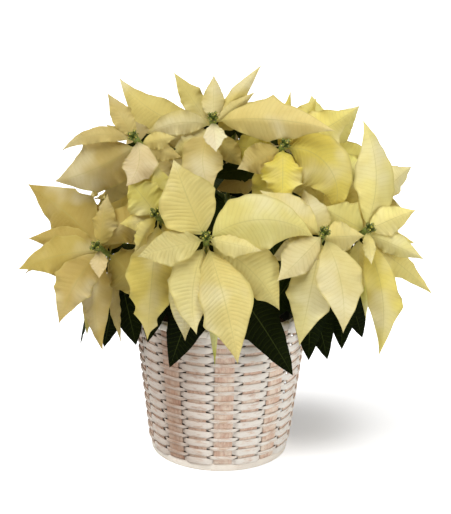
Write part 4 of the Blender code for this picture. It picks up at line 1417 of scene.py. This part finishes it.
basket = {
    "height": 175,
    "footRadius": 78,
    "topRadius": 98.5,
    "stakes": 18,
    "firstStake": 3.3,  # the stake nearest the front, to the right of it
    "stakeWidth": 22.5,
    "stakeThickness": 1.5,
    "rows": 27,
    "wallDepth": 0.9,  # of the stakes' middle, in from the wall's outside
    "swing": 1.65,  # how far a weaver goes out and in
    "weaverThickness": 1.6,
    # Height of a weaver in rows: over a stake, beside it and behind the next
    "broadRow": (1.42, 1.20, 1.16),
    "narrowRow": (0.80, 0.62, 0.5),
    "bandSteps": 288,
    "bandSides": 10,
    "lashingTurns": 52,
    "lashingSteps": 14,  # in each turn
    "hoopHeight": 9,
    "hoopWidth": 5.4,
    "rimHeight": 9,
    "rimWidth": 9,
    "gap": 0.3,
    "age": 0.27,  # how brown it is in all, from 0 to 1
    "leftShade": 0.26,  # how much darker it is on its left: painted shade
    "shadePatch": -34,  # where one patch of painted shade beside the front is darkest, and how wide and how much darker it is
    "patchWidth": 18,
    "patchShade": 0.56,
}
basket["wallLow"] = basket["hoopHeight"] + basket["gap"]
basket["wallHigh"] = basket["height"] - basket["rimHeight"] - basket["gap"]
basket["rowPitch"] = (basket["wallHigh"] - basket["wallLow"]) / basket["rows"]


def wallRadius(height):
    return basket["footRadius"] + (basket["topRadius"] - basket["footRadius"]) * height / basket["height"]


def aroundBasket(degrees, radius, height):
    # Degrees run from the front to the right
    turn = np.radians(degrees)
    return stacked(radius * np.sin(turn), -radius * np.cos(turn), height)


def soften(value, power):
    # Takes a circle's sine or cosine towards a rounded square's
    return np.sign(value) * np.abs(value) ** power


def basketAge(degrees):
    # How brown the basket is, from 0 to 1: brown with age all over, and darker with painted shade on its left
    # and in one patch beside the front
    degrees = (np.asarray(degrees) + 180) % 360 - 180
    age = basket["age"] - basket["leftShade"] * np.sin(np.radians(degrees))
    patch = np.exp(-((degrees - basket["shadePatch"]) / basket["patchWidth"]) ** 2)
    return np.clip(age + basket["patchShade"] * patch, 0, 1)


def slowWaves(draw, degrees, least, counts):
    # Waves that run round the basket, so many of each, with a size drawn between least and 1
    waves = 0
    for count in counts:
        size, start = draw.uniform(least, 1), draw.uniform(0, 360)
        waves = waves + size * np.sin(np.radians(degrees * count + start))
    return waves


def weaverBand(row):
    # One closed band: broad and bulging over every other stake, narrow where it dives behind the next
    draw = random.Random(row)
    steps, ring = basket["bandSteps"], basket["bandSides"]
    degrees = np.linspace(0, 360, steps, endpoint=False)[:, None]
    phase = (degrees - basket["firstStake"]) * basket["stakes"] / 2
    outward = np.cos(np.radians(phase)) * (1 if row % 2 else -1)
    broad = row % 2 == 0
    over, beside, behind = basket["broadRow" if broad else "narrowRow"]
    full = np.clip(np.abs(outward) / 0.5, 0, 1)
    full = full * full * (3 - 2 * full)
    lens = beside + np.where(outward > 0, over - beside, behind - beside) * full
    wobble = slowWaves(draw, degrees, 0.2, (2, 5, 9))
    tall = lens * basket["rowPitch"] / 2 * (1 + 0.03 * wobble)
    middle = basket["wallLow"] + (row + 0.5) * basket["rowPitch"] + 0.16 * wobble
    middle = np.clip(middle, basket["wallLow"] + tall * 0.85, basket["wallHigh"] - tall * 0.85)
    path = basket["swing"] * np.sin(np.pi / 2 * np.clip(2.5 * outward, -1, 1))
    centre = wallRadius(middle) - basket["wallDepth"] + path
    turn = 2 * np.pi * np.arange(ring) / ring
    bulge = np.where(np.cos(turn) > 0, soften(np.cos(turn), 0.8), soften(np.cos(turn), 0.5) * 0.8)
    thick = basket["weaverThickness"] / 2 * (1 + 0.25 * np.clip(outward, 0, 1))
    spots = aroundBasket(degrees, centre + thick * bulge, middle + tall * soften(np.sin(turn), 0.7))
    across = np.where(np.cos(turn) >= 0, np.sin(turn), np.sign(np.sin(turn) + 1e-9))
    strip = stacked(np.radians(degrees) * wallRadius(middle), across, row)
    wear = np.clip(outward, 0, 1) * np.ones(ring) + (0 if broad else 0.5)
    age = basketAge(degrees) * np.ones(ring)
    faces = gridFaces(steps, ring, closed=True, looped=True)
    return spots.reshape(-1, 3), faces, strip.reshape(-1, 3), wear.ravel(), age.ravel()


# A stake's section, as (across, out) from -1 to 1
stakeSection = (
    (-1, 0.0), (-0.93, 0.8), (-0.6, 1.0), (0, 1.08), (0.6, 1.0),
    (0.93, 0.8), (1, 0.0), (0.93, -0.8), (0, -1.0), (-0.93, -0.8),
)
# Number of the first strip of each kind: the weavers have their row's number
stakeNumber, hoopNumber, lashingNumber = 50, 80, 30


def stakeStrip(index):
    # A flat stake with rounded edges, from inside the foot hoop up into the rim
    draw = random.Random(100 + index)
    lean = draw.uniform(-0.5, 0.5)
    middle = basket["firstStake"] + index * 360 / basket["stakes"] + draw.uniform(-0.4, 0.4)
    heights = np.linspace(basket["wallLow"] + 0.4, basket["wallHigh"] - 0.4, 60)[:, None]
    aside, out = np.array(stakeSection).T
    radius = wallRadius(heights) - basket["wallDepth"]
    half = basket["stakeWidth"] / 2 * (0.9 + 0.1 * heights / basket["height"])
    degrees = middle + lean * heights / basket["height"] + np.degrees(aside * half / radius)
    spots = aroundBasket(degrees, radius + out * basket["stakeThickness"] / 2, heights)
    strip = stacked(heights, aside * 0.8, stakeNumber + index)
    rows, sides = len(heights), len(stakeSection)
    faces = gridFaces(rows, sides, closed=True) + endCaps(rows, sides)
    return spots.reshape(-1, 3), faces, strip.reshape(-1, 3), basketAge(degrees).ravel()


def sweptRing(profile, number, steps=240, wobble=0.0, seed=1):
    # A closed profile of (radius, height) carried round the basket
    degrees = np.linspace(0, 360, steps, endpoint=False)[:, None]
    radii, heights = np.array(profile).T
    radius = radii + wobble * slowWaves(random.Random(seed), degrees, -1, (2, 3, 7))
    spots = aroundBasket(degrees, radius, heights)
    count = len(profile)
    strip = stacked(np.radians(degrees) * np.mean(radii), np.linspace(-0.7, 0.7, count), number)
    faces = gridFaces(steps, count, closed=True, looped=True)
    return spots.reshape(-1, 3), faces, strip.reshape(-1, 3)


def roundedProfile(inner, outer, low, high, power=0.62, count=20):
    middle, half = (inner + outer) / 2, (outer - inner) / 2
    centre, tall = (low + high) / 2, (high - low) / 2
    return [(middle + half * soften(x, power), centre + tall * soften(y, power)) for x, y in circle(count)]


def lashing():
    # A flat strip wound round the two rim hoops, one slanted turn after another
    turns, steps = basket["lashingTurns"], basket["lashingSteps"]
    middle = basket["topRadius"] + 2 - basket["rimWidth"] / 2
    centre = basket["height"] - basket["rimHeight"] / 2
    half, tall = basket["rimWidth"] / 2 - 0.1, basket["rimHeight"] / 2 - 0.1
    section = ((-1, 0), (-0.8, 0.75), (0, 1.0), (0.8, 0.75), (1, 0), (0, -0.4))
    total = turns * steps
    points, strip = [], []
    for i, (x, y) in enumerate(circle(steps) * turns):
        for aside, out in section:
            lift = 0.35 * out
            radius, height = middle + (half + lift) * soften(x, 0.6), centre + (tall + lift) * soften(y, 0.6)
            degrees = 360 * i / total + math.degrees(aside * 2.1 / middle)
            points.append(aroundBasket(degrees, radius, height))
            strip.append((i * 2.4, aside, lashingNumber + i // steps))
    return points, gridFaces(total, len(section), closed=True, looped=True), np.array(strip)


bands = gather(weaverBand(row) for row in range(basket["rows"]))
weavers = makeMesh("weavers", bands, ["weaver"], ["strip", "wear", "age"])
fit(weavers, "wicker", "basket_wall")
strips = gather(stakeStrip(index) for index in range(basket["stakes"]))
fit(makeMesh("stakes", strips, ["stake"], ["strip", "age"]), "wicker", "basket_wall")

hoopInner = basket["footRadius"] - basket["hoopWidth"]
hoopProfile = roundedProfile(hoopInner, basket["footRadius"], 0, basket["hoopHeight"], 0.55)
footHoop = makeMesh("footHoop", sweptRing(hoopProfile, hoopNumber, wobble=0.12, seed=2), ["hoop"], ["strip"])
fit(footHoop, "hoop", "basket_foot_hoop")

rimOuter = basket["topRadius"] + 2
rimLow, rimHigh = basket["height"] - basket["rimHeight"] + 0.4, basket["height"] - 0.6
rimParts = []
for i, inward in enumerate((0.3, 4.7)):
    profile = roundedProfile(rimOuter - inward - 4, rimOuter - inward, rimLow, rimHigh, count=12)
    rimParts.append(sweptRing(profile, hoopNumber + 1 + i))
fit(makeMesh("rimHoops", gather(rimParts), ["hoop"], ["strip"]), "wicker", "basket_rim")
fit(makeMesh("rimLashing", lashing(), ["weaver"], ["strip"]), "wicker", "basket_rim")
print("basket woven:", len(weavers.data.polygons), "faces in the weavers")


# Base board, nursery pot and soil

pot = {
    "footRadius": 58,
    "topRadius": 79.5,
    "low": 4.3,
    "high": 160,
    "lipHeight": 12,
    "lipWidth": 3,
    "wall": 1.8,
    "sides": 96,
}


def turned(profile, sides):
    points, faces, rings = [], [], []
    for radius, height in profile:
        if radius == 0:
            rings.append([len(points)] * sides)
            points.append((0, 0, height))
            continue
        rings.append(list(range(len(points), len(points) + sides)))
        points += [(radius * x, radius * y, height) for x, y in circle(sides)]
    for ring, after in zip(rings, rings[1:]):
        for k in range(sides):
            corners = [ring[k], ring[(k + 1) % sides], after[(k + 1) % sides], after[k]]
            faces.append(tuple(dict.fromkeys(corners)))
    return points, faces


low, high, lip = pot["low"], pot["high"], pot["high"] - pot["lipHeight"]
foot, top, outer = pot["footRadius"], pot["topRadius"], pot["topRadius"] + pot["lipWidth"]
mouth = top - pot["wall"]
potProfile = [
    (0, low + 1.2), (foot - 10, low + 1.2), (foot - 8, low), (foot - 1.2, low), (foot, low + 1.2),
    (top - 0.3, lip - 0.2), (top, lip), (outer - 0.8, lip), (outer, lip + 0.8),
    (outer, high - 1), (outer - 1, high), (mouth + 0.6, high), (mouth, high - 0.6), (mouth - 0.2, lip),
    (foot - pot["wall"], low + pot["wall"]), (0, low + pot["wall"]),
]
nurseryPot = makeMesh("nurseryPot", turned(potProfile, pot["sides"]), ["pot"])
nurseryPot.modifiers.new("edges", "EDGE_SPLIT").split_angle = math.radians(35)
fit(nurseryPot, "pot", "nursery_pot")

rim = basket["footRadius"] - basket["hoopWidth"] - basket["gap"]
boardProfile = [(0, 0), (rim - 0.8, 0), (rim, 0.8), (rim, 3.3), (rim - 0.7, 4), (0, 4)]
fit(makeMesh("baseBoard", turned(boardProfile, 96), ["board"], smooth=False), "wicker", "basket_base_board")

soilLook = {
    "rings": 46,
    "sides": 150,
    "low": 6.4,
    "footRadius": 55.6,
    "radius": 76.5,
    "crumbs": 520,
    "paleShare": 0.14,
}


def soilBody():
    # A crumbly mound, low at the pot's wall
    draw = random.Random(9)
    waves = [(draw.uniform(0.03, 0.5), draw.uniform(0, 6.3), draw.uniform(0, 6.3)) for _ in range(60)]
    low, rings, sides = soilLook["low"], soilLook["rings"], soilLook["sides"]

    def top(x, y):
        bumps = 0
        for pace, way, start in waves:
            bumps += math.sin(pace * (x * math.cos(way) + y * math.sin(way)) + start) / (1 + 6 * pace)
        reach = math.hypot(x, y) / soilLook["radius"]
        return plant["soilTop"] - 1.1 - 2.6 * reach ** 3 + 0.16 * bumps

    profile = [(soilLook["footRadius"] * 0.5, low), (soilLook["footRadius"], low)]
    profile += [(soilLook["radius"] * (rings - i) / rings, None) for i in range(rings)]
    points = [(0, 0, low)]
    for radius, height in profile:
        spots = [(radius * x, radius * y) for x, y in circle(sides)]
        points += [(x, y, top(x, y) if height is None else height) for x, y in spots]
    points.append((0, 0, top(0, 0)))
    last = 1 + (len(profile) - 1) * sides
    faces = [(0, 1 + (k + 1) % sides, 1 + k) for k in range(sides)]
    faces += [tuple(i + 1 for i in face) for face in gridFaces(len(profile), sides, closed=True)]
    faces += [(last + k, last + (k + 1) % sides, len(points) - 1) for k in range(sides)]
    return (points, faces, np.zeros(len(points))), top


def soilCrumbs(top):
    # Bark-like bits and white grains on top, each a rough ball of twenty faces
    draw = random.Random(12)
    golden = (1 + math.sqrt(5)) / 2
    corners = [
        (-1, golden, 0), (1, golden, 0), (-1, -golden, 0), (1, -golden, 0), (0, -1, golden), (0, 1, golden),
        (0, -1, -golden), (0, 1, -golden), (golden, 0, -1), (golden, 0, 1), (-golden, 0, -1), (-golden, 0, 1),
    ]
    sides = [
        (0, 11, 5), (0, 5, 1), (0, 1, 7), (0, 7, 10), (0, 10, 11), (1, 5, 9), (5, 11, 4), (11, 10, 2),
        (10, 7, 6), (7, 1, 8), (3, 9, 4), (3, 4, 2), (3, 2, 6), (3, 6, 8), (3, 8, 9), (4, 9, 5), (2, 4, 11),
        (6, 2, 10), (8, 6, 7), (9, 8, 1),
    ]
    shapes = []
    for _ in range(soilLook["crumbs"]):
        reach, turn = (soilLook["radius"] - 4) * math.sqrt(draw.random()), draw.uniform(0, 2 * math.pi)
        x, y = reach * math.cos(turn), reach * math.sin(turn)
        if any(math.hypot(x - a, y - b) < 8 for a, b in plant["trunks"].values()):
            continue
        pale = 1.0 if draw.random() < soilLook["paleShare"] else 0.0
        size = draw.uniform(0.5, 1.5) * (0.7 if pale else 1)
        axis = [draw.uniform(-1, 1) for _ in range(3)]
        spin = Quaternion(axis, draw.uniform(0, 6))
        stretch = Vector((draw.uniform(0.6, 1.5), draw.uniform(0.6, 1.1), draw.uniform(0.4, 0.8)))
        seat = Vector((x, y, top(x, y) + 0.3))
        points = []
        for corner in corners:
            rough = Vector(corner).normalized() * size * draw.uniform(0.8, 1.2)
            points.append(spin @ (rough * stretch) + seat)
        shapes.append((points, sides, np.full(len(corners), pale)))
    return gather(shapes)


mound, soilTopAt = soilBody()
fit(makeMesh("soilMound", mound, ["soil"], ["pale"]), "soil", "soil")
fit(makeMesh("soilCrumbs", soilCrumbs(soilTopAt), ["soil"], ["pale"], smooth=False), "soil", "soil")
print("pot filled")


# Floor, light and camera

studio = {
    "floorSize": 30.0,
    "floorLevel": -0.05,
    # Glow of the floor at the spot of its painted shadow and far from it, how far that shadow reaches, and
    # where its spot is
    "glowInPaintedShadow": 0.24,
    "glowFar": 0.62,
    "paintedShadowReach": (0.02, 0.12),
    "paintedShadowSpot": (0.09, 0.06),
    "target": (0.0034, 0, 0.227),
    "distance": 1.8,
    "elevation": 18,
    "roll": 1.1,
    "lens": 112.6,
    "worldStrength": 0.22,
    "keyStrength": 3.05,
    "keySoftness": 50,
    "keyFrom": (-0.85, -0.65, 1.85),
    "fillStrength": 1.5,
    "fillSoftness": 30,
    "fillFrom": (1.5, -1.1, 0.35),
}


def paperFloor():
    # A white floor that glows faintly, which keeps the soft shadow small and light, and glows less round a
    # spot beside the foot: a painted shadow there
    material, tree, output = newMaterial("whitePaper")
    finish["floor"] = material
    seen = addNode(tree, "ShaderNodeLightPath").outputs["Is Camera Ray"]
    values = {0: places(tree), 1: (*studio["paintedShadowSpot"], 0)}
    away = addNode(tree, "ShaderNodeVectorMath", values, operation="DISTANCE").outputs["Value"]
    # Less glow round the spot beside the foot: a painted shadow
    glow = fade(tree, away, *studio["paintedShadowReach"], studio["glowInPaintedShadow"], studio["glowFar"])
    tone = mixColours(tree, seen, (0.75, 0.75, 0.75), (0.9, 0.9, 0.9))
    glowing = {"Emission Color": (1, 1, 1), "Emission Strength": times(tree, seen, glow)}
    finishMaterial(tree, output, tone, 0.9, 0.1, glowing)
    half = studio["floorSize"] / 2 / mm
    corners = [(x * half, y * half, studio["floorLevel"]) for x, y in ((-1, -1), (1, -1), (1, 1), (-1, 1))]
    makeMesh("paperFloor", (corners, [(0, 1, 2, 3)]), ["floor"])


def softSun(name, strength, softness, spot):
    light = bpy.data.lights.new(name, "SUN")
    light.energy = strength
    light.angle = math.radians(softness)
    made = bpy.data.objects.new(name, light)
    made.rotation_mode = "QUATERNION"
    made.rotation_quaternion = (-Vector(spot)).to_track_quat("-Z", "Y")
    bpy.context.scene.collection.objects.link(made)


def lightStudio():
    world = bpy.data.worlds.new("studio")
    world.use_nodes = True
    background = world.node_tree.nodes["Background"]
    background.inputs["Color"].default_value = (1, 1, 1, 1)
    background.inputs["Strength"].default_value = studio["worldStrength"]
    bpy.context.scene.world = world
    softSun("keyLight", studio["keyStrength"], studio["keySoftness"], studio["keyFrom"])
    softSun("fillLight", studio["fillStrength"], studio["fillSoftness"], studio["fillFrom"])


def setCamera():
    camera = bpy.data.objects.new("camera", bpy.data.cameras.new("camera"))
    bpy.context.scene.collection.objects.link(camera)
    back = polar(0, studio["elevation"])
    camera.location = Vector(studio["target"]) + back * studio["distance"]
    camera.rotation_mode = "QUATERNION"
    look = (-back).to_track_quat("-Z", "Y")
    camera.rotation_quaternion = Quaternion(back, math.radians(studio["roll"])) @ look
    camera.data.lens = studio["lens"]
    camera.data.sensor_width = 36
    camera.data.clip_end = 20
    bpy.context.scene.camera = camera
    # Plain colours, as a photograph on white paper has them
    bpy.context.scene.view_settings.view_transform = "Standard"
    bpy.context.scene.view_settings.look = "None"


paperFloor()
lightStudio()
setCamera()
